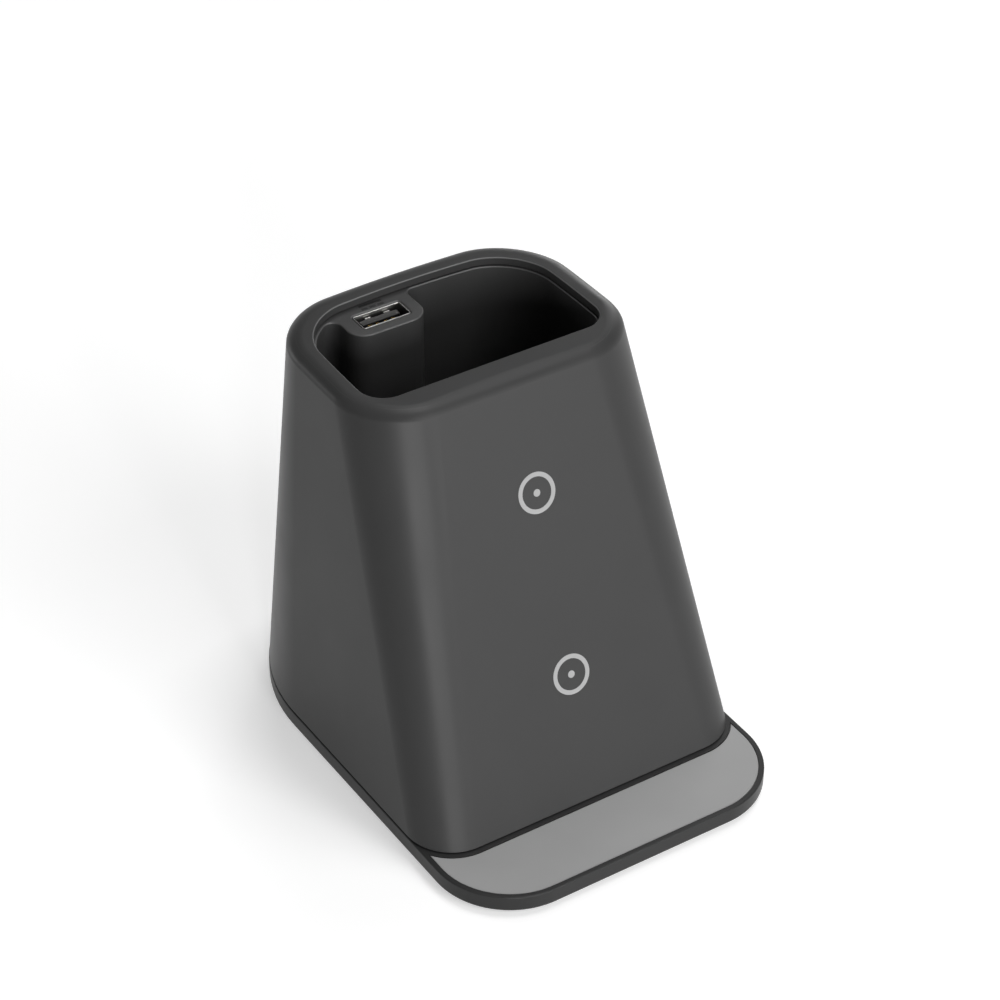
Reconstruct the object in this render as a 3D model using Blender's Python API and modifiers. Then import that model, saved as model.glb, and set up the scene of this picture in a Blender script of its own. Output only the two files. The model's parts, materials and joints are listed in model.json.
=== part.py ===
"""A desk caddy for pens whose leaning front face charges a phone.

A tapered moulded body with a rolled rim stands on a low base. The base reaches forward as a
ledge with a soft pad, where the phone stands. A separate cup hangs inside the body, with a
raised deck at its back for a power outlet. Behind the front face lie two flat coils, one for
a phone that stands and one for a phone that lies along the ledge.

Metres, +Z up, front towards -Y, origin on the ground under the middle of the base.
"""

import math

import bmesh
import bpy
import numpy as np
from mathutils import Vector

MM = 0.001

# Clearances and overruns
fit_gap = 0.3 * MM  # between two pieces that touch
overrun = 3.0 * MM  # how far a cutter passes the face that it opens
embed = 0.8 * MM  # how deep a boss or a rib is sunk into the wall that carries it
weld = 0.001 * MM  # points this near are one

# Base
base_width = 90.0 * MM
base_front_radius = 20.0 * MM
base_rear_straight = 4.0 * MM  # between the two rear corners, which take the rest of the width
base_rear_bow = 2.0 * MM
base_top = 5.2 * MM
base_lift = 0.8 * MM  # the feet hold the base this far off the ground
base_under_chamfer = 0.6 * MM
base_upper_chamfer = 0.3 * MM
base_skirt = 2.0 * MM
base_deck = 1.8 * MM
cover_thickness = 1.5 * MM

# Soft pad on the ledge
ledge_depth = 20.75 * MM
pad_rim = 1.3 * MM
pad_recess = 1.1 * MM
pad_sunk = 0.1 * MM

# Feet
foot_radius = 6.0 * MM
foot_seat = 0.5 * MM
foot_edge = 0.4 * MM
foot_front_inset = 16.0 * MM
foot_rear_inset = 26.0 * MM
foot_front_side = 18.0 * MM
foot_rear_side = 22.0 * MM

# Body, at its foot and at its head, which lies just under the rolled rim
body_depth = 110.25 * MM
body_height = 104.85 * MM
body_step = 0.1 * MM  # how far the body stands in from the base at the sides and the back
body_foot_radius = 12.1 * MM
face_run = 36.15 * MM  # how far the front face leans back, from its foot to the head
head_drop = 2.75 * MM
head_rear_setback = 18.8 * MM
head_front_taper = 6.85 * MM  # what the body loses at each side, foot to head
head_rear_taper = 8.0 * MM
head_front_radius = 17.1 * MM
head_rear_radius = 18.9 * MM
head_bow = 1.9 * MM
head_side_bow = 0.5 * MM
body_wall = 2.2 * MM

# Rim and mouth
rim_rise = 6.0 * MM
rim_thickness = 2.0 * MM
rim_front_roll = 9.6 * MM  # from the head in to the mouth
rim_rear_roll = 6.3 * MM
rim_front_side_roll = 5.8 * MM
rim_rear_side_roll = 5.95 * MM
mouth_front_radius = 6.3 * MM
mouth_rear_radius = 13.8 * MM
mouth_bow = 2.0 * MM
mouth_side_bow = 0.5 * MM
conic_share = 0.707  # the middle weight that makes a conic a quarter circle
round_end_share = 0.48  # a long hole's end radius, of its height: just short of a full half circle

# Cup
cup_wall = 1.6 * MM
cup_step = 0.4 * MM  # the cup's lip shows this much inside the mouth
cup_floor = 10.0 * MM
cup_draft = 0.8 * MM  # how far each wall leans in from lip to floor
cup_floor_round = 1.0 * MM
lip_round = 0.7 * MM

# Power outlet in the deck, and the boss that holds it
outlet_width = 13.1 * MM
outlet_height = 5.7 * MM
outlet_length = 14.0 * MM
outlet_corner = 0.7 * MM
outlet_metal = 0.35 * MM
outlet_sunk = 0.2 * MM
outlet_to_back = 3.2 * MM  # from the outlet to the back of the cup
tongue_side = 1.35 * MM  # from the side of the outlet to its tongue
tongue_thickness = 1.8 * MM
tongue_sunk = 1.2 * MM
tongue_root = 3.0 * MM
boss_past_corner = 2.75 * MM  # how far the boss reaches left of the middle of the mouth's rear corner
boss_margin_left = 3.35 * MM
boss_margin_right = 3.0 * MM
boss_margin_front = 3.2 * MM
boss_front_radius = 3.4 * MM
boss_root_radius = 2.4 * MM
boss_nook_radius = 2.9 * MM
boss_nook_angle = math.radians(122)  # where the nook beside the boss leaves the cup's corner
outlet_board_length = 32.0 * MM
board_thin = 1.2 * MM

# Charging coils, their ferrites and the bracket behind the front face
coil_inner_radius = 10.0 * MM
coil_wire = 1.0 * MM
coil_pitch = 1.457 * MM
coil_margin = 1.8 * MM  # from a coil to the edge of its ferrite
tail_bend = 2.0 * MM
tail_proud = 1.0 * MM
ferrite_thickness = 0.8 * MM
ferrite_bore = 7.0 * MM
ferrite_above_foot = 10.2 * MM
ferrite_below_head = 3.05 * MM
ferrite_apart = 1.9 * MM
ferrite_side = 16.15 * MM  # from the side of the head to the ferrites
bracket_side_margin = 3.0 * MM
bracket_top_margin = 0.4 * MM
bracket_low = 8.0 * MM
bracket_thickness = 1.3 * MM
bracket_corner = 4.0 * MM
tail_hole = 1.0 * MM
tail_hole_shift = 0.2 * MM  # the tail still bends as it passes the ferrite, so its hole reaches inwards
post_radius = 2.2 * MM
post_clearance = 1.0 * MM
post_angle = math.radians(39)  # around the ferrite, from level

# Main board
board_side_gap = 3.7 * MM  # to the screw bosses beside it
board_to_cup = 5.25 * MM
board_thickness = 1.6 * MM
board_rise = 3.0 * MM
board_behind_front = 9.5 * MM  # from the foot of the front face to the board
board_corner = 1.5 * MM
standoff_radius = 2.5 * MM
standoff_inset = 4.0 * MM
component_gap_front = 5.2 * MM
component_gap_back = 0.8 * MM
component_gap_side = 4.5 * MM
component_gap_screw = 8.5 * MM  # beside the screws in two of the corners
controller_side = 6.0 * MM
controller_height = 0.9 * MM
driver_width = 6.0 * MM
driver_depth = 5.0 * MM
inductor_side = 7.3 * MM
inductor_height = 4.2 * MM
inductor_corner = 1.2 * MM
bulk_radius = 2.5 * MM
bulk_height = 7.0 * MM
resonant_width = 7.2 * MM
resonant_depth = 3.0 * MM
resonant_height = 4.5 * MM

# Screws
screw_head_radius = 2.6 * MM
screw_head_height = 1.0 * MM
screw_radius = 1.4 * MM
screw_length = 10.5 * MM
screw_point = 1.0 * MM
seat_wall = 1.4 * MM  # around a screw head, under the base
head_top_share = 0.75
head_edge_share = 0.5
point_share = 0.4
boss_radius = 3.5 * MM
boss_height = 10.0 * MM
boss_rib = 1.6 * MM
boss_side_inset = 9.5 * MM  # from the inside of the body's side
boss_front_inset = 10.5 * MM  # from the inside of the body's front
boss_rear_inset = 6.6 * MM
boss_rear_angle = math.radians(45)  # round the rear corner, from square to the side
small_head_radius = 1.8 * MM
small_head_height = 0.8 * MM
small_radius = 0.8 * MM
small_length = 4.2 * MM

# Power inlet, low in the back of the body
inlet_width = 8.94 * MM
inlet_height = 3.26 * MM
inlet_length = 7.3 * MM
inlet_metal = 0.35 * MM
inlet_tongue_width = 6.6 * MM
inlet_tongue_thickness = 0.7 * MM
inlet_tongue_length = 5.0 * MM
inlet_sunk = 0.8 * MM
inlet_board_width = 18.0 * MM
inlet_board_depth = 12.0 * MM
inlet_post_spread = 12.0 * MM
inlet_post_inset = 4.0 * MM
plug_recess_width = 13.5 * MM
plug_recess_height = 7.0 * MM
plug_recess_depth = 0.8 * MM

# Locating bars and cup posts on the base
locator_thickness = 1.6 * MM
locator_height = 2.6 * MM
locator_side_inset = 7.5 * MM  # from where the body's corners begin
locator_front_inset = 10.9 * MM
cup_post_radius = 2.4 * MM
cup_post_side = 9.05 * MM
cup_post_inset = 8.0 * MM

# Leads and cables inside, and the ways that they take
cable_thickness = 2.0 * MM
cable_side = 8.0 * MM
cable_start = 1.2 * MM
cable_bend = 4.0 * MM
lead_thickness = 1.0 * MM
lead_step = 3.0 * MM
lead_start = 1.5 * MM
lead_drop = 2.5 * MM
lead_behind = 4.25 * MM  # behind the front of the main board
upper_lead_side = 3.9 * MM
lower_lead_side = 1.3 * MM

CORNER_STEPS = 11
CUP_CORNER_STEPS = 6
SIDE_STEPS = 2
RIM_STEPS = 6
ROUND_STEPS = 16
SCREW_STEPS = 12
FOOT_STEPS = 24
COIL_STEPS = 24
TAIL_STEPS = 4
PILL_STEPS = 4
EDGE_STEPS = 3

# Places that follow from the sizes
base_depth = ledge_depth + body_depth
base_rear_radius = (base_width - base_rear_straight) / 2
front_edge = -base_depth / 2
rear_edge = base_depth / 2
body_foot = base_top + fit_gap
body_back = rear_edge - body_step
face_foot = front_edge + ledge_depth
head_height = body_height - head_drop
head_front = face_foot + face_run
head_back = rear_edge - head_rear_setback
head_front_width = base_width - 2 * head_front_taper
head_rear_width = base_width - 2 * head_rear_taper
mouth_front = head_front + rim_front_roll
mouth_back = head_back - rim_rear_roll
mouth_front_width = head_front_width - 2 * rim_front_side_roll
mouth_rear_width = head_rear_width - 2 * rim_rear_side_roll
mouth_corner = min(mouth_rear_radius, (mouth_back - mouth_front) / 2)
lip_height = body_height - rim_thickness - fit_gap
lean = math.atan2(face_run, head_height - body_foot)
face_length = math.hypot(face_run, head_height - body_foot)
deck_under = base_top - base_deck
cover_top = base_lift + cover_thickness

model = bpy.data.collections.new("pen_holder")
cutters = bpy.data.collections.new("cutters")


def start_scene():
    for old in list(bpy.data.objects):
        bpy.data.objects.remove(old, do_unlink=True)
    bpy.context.scene.collection.children.link(model)
    bpy.context.scene.collection.children.link(cutters)


def material(name, colour, roughness, metallic=0.0):
    made = bpy.data.materials.new(name)
    made.use_nodes = True
    made.diffuse_color = (*colour, 1.0)
    shader = made.node_tree.nodes["Principled BSDF"]
    shader.inputs["Base Color"].default_value = (*colour, 1.0)
    shader.inputs["Roughness"].default_value = roughness
    shader.inputs["Metallic"].default_value = metallic
    return made


def keep(obj, finish):
    """A finished piece goes in the model's collection with its material."""
    place_in(obj, model)
    obj.data.materials.clear()
    obj.data.materials.append(finish)
    if obj.type == "MESH":
        obj.data.shade_smooth()
        obj.data.set_sharp_from_angle(angle=math.radians(35))
    return obj


def place_in(obj, collection):
    for other in list(obj.users_collection):
        other.objects.unlink(obj)
    collection.objects.link(obj)


def helper(obj):
    """A cutter, or a shape that is joined to another, stays out of the render."""
    place_in(obj, cutters)
    obj.hide_render = True
    obj.display_type = "WIRE"
    return obj


def combine(target, other, operation):
    step = target.modifiers.new(operation.lower(), "BOOLEAN")
    step.operation = operation
    step.solver = "EXACT"
    step.object = helper(other)


def cut(target, *others):
    for other in others:
        combine(target, other, "DIFFERENCE")


def join(target, *others):
    for other in others:
        combine(target, other, "UNION")


def from_bmesh(name, shape):
    bmesh.ops.recalc_face_normals(shape, faces=shape.faces)
    mesh = bpy.data.meshes.new(name)
    shape.to_mesh(mesh)
    shape.free()
    obj = bpy.data.objects.new(name, mesh)
    bpy.context.scene.collection.objects.link(obj)
    return obj


def box(name, low, high):
    """A box between two corners, with its scale applied."""
    low, high = Vector(low), Vector(high)
    bpy.ops.mesh.primitive_cube_add(size=1, location=(low + high) / 2)
    obj = bpy.context.object
    obj.name = name
    obj.scale = high - low
    bpy.ops.object.transform_apply(location=False, rotation=False, scale=True)
    return obj


def rounded_box(name, low, high, radius):
    obj = box(name, low, high)
    edge = obj.modifiers.new("edge", "BEVEL")
    edge.width = radius
    edge.segments = 2
    return obj


def rod(name, radius, bottom, top, at):
    """An upright cylinder over a point of the plan."""
    bpy.ops.mesh.primitive_cylinder_add(
        vertices=ROUND_STEPS,
        radius=radius,
        depth=top - bottom,
        location=(at[0], at[1], (bottom + top) / 2),
    )
    bpy.context.object.name = name
    return bpy.context.object


def rounded(corners, radii, between, steps=CORNER_STEPS):
    """An outline with an arc at each corner, and points spread along the sides after them."""
    arcs = []
    for index, corner in enumerate(corners):
        corner = Vector(corner)
        before = (Vector(corners[index - 1]) - corner).normalized()
        after = (Vector(corners[(index + 1) % len(corners)]) - corner).normalized()
        half = before.angle(after) / 2
        centre = corner + (before + after).normalized() * radii[index] / math.sin(half)
        start = corner + before * radii[index] / math.tan(half) - centre
        turn = math.pi - 2 * half
        if before.x * after.y - before.y * after.x > 0:
            turn = -turn
        arcs.append([centre + turned_by(start, turn * k / steps) for k in range(steps + 1)])
    points = []
    for index, arc in enumerate(arcs):
        points += arc
        following = arcs[(index + 1) % len(arcs)][0]
        for k in range(between[index]):
            points.append(arc[-1].lerp(following, (k + 1) / (between[index] + 1)))
    return points


def turned_by(vector, angle):
    cos, sin = math.cos(angle), math.sin(angle)
    return Vector((vector.x * cos - vector.y * sin, vector.x * sin + vector.y * cos))


def section(front, back, front_width, rear_width, front_radius, rear_radius, bow, side_bow):
    """A plan with round corners, a bowed back and sides that swell a little."""
    rear = back - bow
    corners = [
        (-front_width / 2, front),
        (front_width / 2, front),
        (rear_width / 2, rear),
        (-rear_width / 2, rear),
    ]
    radii = [front_radius, front_radius, rear_radius, rear_radius]
    points = rounded(corners, radii, [0, SIDE_STEPS, SIDE_STEPS, SIDE_STEPS])
    for point in points:
        share = (point.y - front) / (rear - front)
        point.y += bow * share * (1 - (2 * point.x / rear_width) ** 2)
        point.x *= 1 + 8 * side_bow / rear_width * share * (1 - share)
    return points


def at_height(points, height):
    return [Vector((point.x, point.y, height)) for point in points]


def share_at(height):
    """How far up the body a height lies, from its foot to its head."""
    return (height - body_foot) / (head_height - body_foot)


def body_ring(height, inset=0.0):
    """The body's wall at any height, drawn in by the wall's thickness for the inside."""
    lean_in = inset / math.cos(lean)
    foot = section(
        face_foot + lean_in,
        body_back - inset,
        base_width - 2 * (body_step + inset),
        base_width - 2 * (body_step + inset),
        body_foot_radius - inset,
        base_rear_radius - inset,
        base_rear_bow,
        0.0,
    )
    head = section(
        head_front + lean_in,
        head_back - inset,
        head_front_width - 2 * inset,
        head_rear_width - 2 * inset,
        head_front_radius - inset,
        head_rear_radius - inset,
        head_bow,
        head_side_bow,
    )
    share = share_at(height)
    return at_height([low.lerp(high, share) for low, high in zip(foot, head)], height)


def mouth_plan(inset=0.0):
    return section(
        mouth_front + inset,
        mouth_back - inset,
        mouth_front_width - 2 * inset,
        mouth_rear_width - 2 * inset,
        mouth_front_radius - inset,
        mouth_corner - inset,
        mouth_bow,
        mouth_side_bow,
    )


def base_plan(inset=0.0):
    return section(
        front_edge + inset,
        rear_edge - inset,
        base_width - 2 * inset,
        base_width - 2 * inset,
        base_front_radius - inset,
        base_rear_radius - inset,
        base_rear_bow,
        0.0,
    )


def rolled(start, corner, end):
    """Rings along a conic that leaves the start towards the corner and arrives flat at the end."""
    rings = []
    for step in range(RIM_STEPS + 1):
        share = step / RIM_STEPS
        a = (1 - share) ** 2
        b = 2 * conic_share * share * (1 - share)
        c = share**2
        rings.append([(p * a + q * b + r * c) / (a + b + c) for p, q, r in zip(start, corner, end)])
    return rings


def loft(name, rings, is_loop=False):
    """Faces between rings of as many points, closed by caps or by the first ring again."""
    shape = bmesh.new()
    rows = [[shape.verts.new(point) for point in ring] for ring in rings]
    pairs = list(zip(rows, rows[1:]))
    if is_loop:
        pairs.append((rows[-1], rows[0]))
    for low, high in pairs:
        for k in range(len(low)):
            shape.faces.new((low[k - 1], low[k], high[k], high[k - 1]))
    if not is_loop:
        shape.faces.new(rows[0])
        shape.faces.new(rows[-1])
    return from_bmesh(name, shape)


def plate(name, plan, bottom, top):
    """A flat outline, filled and extruded, as a mesh."""
    curve = bpy.data.curves.new(name, "CURVE")
    curve.dimensions = "2D"
    curve.fill_mode = "BOTH"
    curve.extrude = (top - bottom) / 2
    line = curve.splines.new("POLY")
    line.points.add(len(plan) - 1)
    for point, place in zip(line.points, plan):
        point.co = (place[0], place[1], 0.0, 1.0)
    line.use_cyclic_u = True
    drawn = bpy.data.objects.new(name + "_outline", curve)
    bpy.context.scene.collection.objects.link(drawn)
    drawn.location.z = (top + bottom) / 2
    return solid_from(drawn, name)


def solid_from(drawn, name):
    """A curve's solid as a mesh, with its caps welded on."""
    bpy.context.view_layer.update()
    graph = bpy.context.evaluated_depsgraph_get()
    mesh = bpy.data.meshes.new_from_object(drawn.evaluated_get(graph))
    shape = bmesh.new()
    shape.from_mesh(mesh)
    bmesh.ops.remove_doubles(shape, verts=shape.verts, dist=weld)
    bpy.data.meshes.remove(mesh)
    obj = from_bmesh(name, shape)
    obj.matrix_world = drawn.matrix_world
    bpy.data.objects.remove(drawn, do_unlink=True)
    return obj


def turned(name, profile, steps):
    """A profile of (radius, height) pairs, top to bottom, turned about the upright axis."""
    mesh = bpy.data.meshes.new(name)
    points = [(radius, 0.0, height) for radius, height in profile]
    mesh.from_pydata(points, [(k, k + 1) for k in range(len(points) - 1)], [])
    obj = bpy.data.objects.new(name, mesh)
    bpy.context.scene.collection.objects.link(obj)
    screw = obj.modifiers.new("turn", "SCREW")
    screw.steps = steps
    screw.render_steps = steps
    screw.use_merge_vertices = True
    screw.merge_threshold = weld
    return obj


def tube(name, points, thickness, finish, roundness=2):
    curve = bpy.data.curves.new(name, "CURVE")
    curve.dimensions = "3D"
    curve.bevel_depth = thickness / 2
    curve.bevel_resolution = roundness
    curve.use_fill_caps = True
    line = curve.splines.new("POLY")
    line.points.add(len(points) - 1)
    for point, place in zip(line.points, points):
        point.co = (*place, 1.0)
    obj = bpy.data.objects.new(name, curve)
    return keep(obj, finish)


def smooth(route, step):
    """Points at even steps along a curve through the route's own points."""
    route = [Vector(point) for point in route]
    padded = [route[0] * 2 - route[1], *route, route[-1] * 2 - route[-2]]
    points = []
    for a, b, c, d in zip(padded, padded[1:], padded[2:], padded[3:]):
        count = max(1, round((c - b).length / step))
        for k in range(count):
            t = k / count
            bend = a * 2 - b * 5 + c * 4 - d
            twist = b * 3 - a - c * 3 + d
            points.append((b * 2 + (c - a) * t + bend * t**2 + twist * t**3) / 2)
    return [*points, route[-1]]


def on_face(side, depth, rise):
    """A point behind the leaning front face: across it, into the body, and up along the face."""
    return Vector(
        (
            side,
            face_foot + rise * math.sin(lean) + depth * math.cos(lean),
            body_foot + rise * math.cos(lean) - depth * math.sin(lean),
        )
    )


def face_mount():
    """An empty whose Z runs up the front face and whose Y runs into the body."""
    mount = bpy.data.objects.new("front_face_mount", None)
    mount.location = on_face(0.0, 0.0, 0.0)
    mount.rotation_euler.x = -lean
    model.objects.link(mount)
    return mount


def stood_up(obj, location, parent=None):
    """Turns a piece that was built lying flat, so that its plan stands and its thickness runs along Y."""
    obj.parent = parent
    obj.rotation_euler.x = math.pi / 2
    obj.location = location
    return obj


def face_rod(name, radius, near, far, side, rise, mount):
    """A cylinder square to the front face, between two depths behind it."""
    made = rod(name, radius, -(far - near) / 2, (far - near) / 2, (0.0, 0.0))
    return stood_up(made, (side, (near + far) / 2, rise), mount)


def pill(width, height, radius, at=(0.0, 0.0)):
    """A rectangle with round corners, about a point."""
    quadrants = [(-1, -1), (1, -1), (1, 1), (-1, 1)]
    corners = [(at[0] + x * width / 2, at[1] + y * height / 2) for x, y in quadrants]
    return rounded(corners, [radius] * 4, [0] * 4, steps=PILL_STEPS)


def inner_half_width(height):
    foot = base_width / 2 - body_step
    return foot + (head_front_width / 2 - foot) * share_at(height) - body_wall


def inner_front(height):
    return face_foot + (height - body_foot) * math.tan(lean) + body_wall / math.cos(lean)


def outer_back(height):
    return body_back + (head_back - body_back) * share_at(height)


def rear_corner(side):
    """The middle of one of the rear corners of the body's foot."""
    x = base_width / 2 - body_step - base_rear_radius
    return Vector((side * x, body_back - base_rear_bow - base_rear_radius))


def screw_places():
    """Where the body is screwed down: beside the board in front, and in the rear corners."""
    front = inner_front(body_foot) + boss_front_inset
    reach = base_rear_radius - body_wall - boss_rear_inset
    rear = rear_corner(1) + turned_by(Vector((reach, 0.0)), boss_rear_angle)
    return {
        "front_left": (-front_screw_side, front),
        "front_right": (front_screw_side, front),
        "rear_left": (-rear.x, rear.y),
        "rear_right": (rear.x, rear.y),
    }


def foot_places():
    front = front_edge + foot_front_inset
    rear = rear_edge - foot_rear_inset
    return {
        "front_left": (foot_front_side - base_width / 2, front),
        "front_right": (base_width / 2 - foot_front_side, front),
        "rear_left": (foot_rear_side - base_width / 2, rear),
        "rear_right": (base_width / 2 - foot_rear_side, rear),
    }


# Heights, depths behind the front face, and plan places that several pieces share
front_screw_side = inner_half_width(body_foot) - boss_side_inset
board_width = 2 * (front_screw_side - boss_radius - board_side_gap)
board_bottom = base_top + board_rise + fit_gap
board_top = board_bottom + board_thickness
board_front = face_foot + board_behind_front
board_back = mouth_front - board_to_cup
screw_seat = cover_top + 2 * fit_gap + screw_head_height
screw_tip = screw_seat - fit_gap + screw_length
# The ferrites share the length of the face and are as large as that and the head's width allow
ferrite_room = (face_length - ferrite_above_foot - ferrite_apart - ferrite_below_head) / 2
ferrite_radius = min(ferrite_room / 2, head_front_width / 2 - ferrite_side)
coil_lower_rise = ferrite_above_foot + ferrite_room / 2  # along the leaning face, from its foot
coil_upper_rise = face_length - ferrite_below_head - ferrite_room / 2
coil_outer_radius = ferrite_radius - coil_margin
coil_turns = round((coil_outer_radius - coil_inner_radius) / coil_pitch)
coil_depth = body_wall + fit_gap + coil_wire / 2
ferrite_near = coil_depth + coil_wire / 2 + fit_gap
bracket_near = ferrite_near + ferrite_thickness + fit_gap
bracket_far = bracket_near + bracket_thickness
bracket_width = 2 * (ferrite_radius + bracket_side_margin)
bracket_high = coil_upper_rise + ferrite_radius + bracket_top_margin
tail_depth = bracket_far + tail_proud
outlet_back = mouth_back - cup_step - outlet_to_back
outlet_front = outlet_back - outlet_height
outlet_top = lip_height - outlet_sunk
boss_left = mouth_corner - boss_past_corner - mouth_rear_width / 2
outlet_x = boss_left + boss_margin_left + outlet_width / 2
boss_right = outlet_x + outlet_width / 2 + boss_margin_right
boss_front = outlet_front - boss_margin_front
tongue_width = outlet_width - 2 * tongue_side
cup_bottom = cup_floor - cup_wall
under_cup = (base_top + cup_bottom) / 2
inlet_board_top = board_bottom + board_thin
inlet_middle = inlet_board_top + fit_gap + inlet_height / 2
inlet_face = outer_back(inlet_middle) - inlet_sunk
inlet_board_back = outer_back(inlet_middle) - body_wall - fit_gap
inlet_board_front = inlet_board_back - inlet_board_depth

post_reach = ferrite_radius + post_radius + post_clearance
post_side = post_reach * math.cos(post_angle)
post_low_rise = coil_lower_rise - post_reach * math.sin(post_angle)
post_high_rise = coil_upper_rise + post_reach * math.sin(post_angle)
post_places = [
    (-post_side, post_low_rise),
    (post_side, post_low_rise),
    (-post_side, post_high_rise),
    (post_side, post_high_rise),
]
standoff_places = [
    (-board_width / 2 + standoff_inset, board_back - standoff_inset),
    (board_width / 2 - standoff_inset, board_front + standoff_inset),
    (board_width / 2 - standoff_inset, board_back - standoff_inset),
    (-board_width / 2 + standoff_inset, board_front + standoff_inset),
]


def body_walls():
    """The outer wall, the rolled rim and mouth, and the inner wall, as one closed loft."""
    rim_start = body_height - rim_rise
    under_rim = body_height - rim_thickness
    outside = rolled(
        body_ring(rim_start),
        body_ring(body_height),
        at_height(mouth_plan(), body_height),
    )
    inside = rolled(
        body_ring(rim_start, body_wall),
        body_ring(under_rim, body_wall),
        at_height(mouth_plan(), under_rim),
    )
    rings = [body_ring(body_foot), *outside, *reversed(inside), body_ring(body_foot, body_wall)]
    return loft("outer_shell", rings, is_loop=True)


def way_to_wall(x, y):
    """Which way the nearest wall lies from a screw boss, and how far off it is."""
    if y > 0:
        return (Vector((x, y)) - rear_corner(math.copysign(1, x))).normalized(), boss_rear_inset
    return Vector((math.copysign(1, x), 0.0)), boss_side_inset


def add_screw_bosses(body):
    """A boss for each screw from below, tied to the wall beside it by a rib."""
    boss_top = body_foot + boss_height
    for place, (x, y) in screw_places().items():
        outward, distance = way_to_wall(x, y)
        length = distance + embed
        rib = box(
            f"rib_{place}",
            (-length / 2, -boss_rib / 2, body_foot),
            (length / 2, boss_rib / 2, boss_top - boss_rib),
        )
        rib.location.x = x + outward.x * length / 2
        rib.location.y = y + outward.y * length / 2
        rib.rotation_euler.z = math.atan2(outward.y, outward.x)
        join(body, rod(f"boss_{place}", boss_radius, body_foot, boss_top, (x, y)), rib)
    for place, at in screw_places().items():
        low, high = body_foot - overrun, screw_tip + fit_gap
        cut(body, rod(f"boss_hole_{place}", screw_radius + fit_gap, low, high, at))


def add_bracket_posts(body, mount):
    """Four posts behind the front face, with holes for the bracket's screws."""
    for index, (side, rise) in enumerate(post_places):
        near, far = body_wall - embed, bracket_near - fit_gap
        join(body, face_rod(f"post_{index}", post_radius, near, far, side, rise, mount))
    for index, (side, rise) in enumerate(post_places):
        near, far = bracket_far - small_length, bracket_near
        hole = face_rod(f"post_hole_{index}", small_radius + fit_gap, near, far, side, rise, mount)
        cut(body, hole)


def cut_inlet(body):
    """The hole for the inlet, and the shallow recess that the plug's body enters."""
    back = outer_back(inlet_middle)
    width, height = inlet_width + 2 * fit_gap, inlet_height + 2 * fit_gap
    slot_plan = pill(width, height, height * round_end_share)
    recess_plan = pill(plug_recess_width, plug_recess_height, plug_recess_height * round_end_share)
    slot = plate("inlet_slot", slot_plan, -overrun, overrun)
    recess = plate("plug_recess", recess_plan, -overrun / 2, overrun / 2)
    cut(body, stood_up(slot, (0.0, back - body_wall / 2, inlet_middle)))
    cut(body, stood_up(recess, (0.0, back - plug_recess_depth + overrun / 2, inlet_middle)))


def make_body(plastic, mount):
    """The tapered body, with what is moulded on its inside."""
    body = body_walls()
    add_screw_bosses(body)
    add_bracket_posts(body, mount)
    cut_inlet(body)
    return keep(body, plastic)


def cup_plan(inset):
    """The cup's hollow from above: round corners, and the outlet's boss standing in from the back."""
    front = mouth_front + inset
    rear = mouth_back - mouth_bow - inset
    half_front = mouth_front_width / 2 - inset
    half_rear = mouth_rear_width / 2 - inset
    corner = mouth_corner - inset
    # The cup's left rear corner is left at the nook angle, on a line that meets both walls
    middle = Vector((-half_rear + corner, rear - corner))
    touch = middle + turned_by(Vector((corner, 0.0)), boss_nook_angle)
    along = turned_by(Vector((0.0, 1.0)), boss_nook_angle)
    left = boss_left - inset
    nook = touch + along * ((left - touch.x) / along.x)
    bend = touch + along * ((-half_rear - touch.x) / along.x)
    corners = [
        (-half_front, front),
        (half_front, front),
        (half_rear, rear),
        (boss_right + inset, rear),
        (boss_right + inset, boss_front - inset),
        (left, boss_front - inset),
        (left, nook.y),
        (-half_rear, bend.y),
    ]
    radii = [
        mouth_front_radius - inset,
        mouth_front_radius - inset,
        corner,
        boss_root_radius - inset,
        boss_front_radius + inset,
        boss_front_radius + inset,
        boss_nook_radius - inset,
        corner,
    ]
    between = [0, SIDE_STEPS, SIDE_STEPS, 0, 0, 0, 0, SIDE_STEPS]
    points = rounded(corners, radii, between, CUP_CORNER_STEPS)
    arc = CUP_CORNER_STEPS + 1
    first_on_boss = 4 * arc + 2 * SIDE_STEPS
    boss_points = range(first_on_boss, first_on_boss + 2 * arc)
    for index, point in enumerate(points):
        share = (point.y - front) / (rear - front)
        if index not in boss_points:
            point.y += mouth_bow * share * (1 - (point.x / half_rear) ** 2)
        point.x *= 1 + 4 * mouth_side_bow / half_rear * share * (1 - share)
    return points


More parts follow.
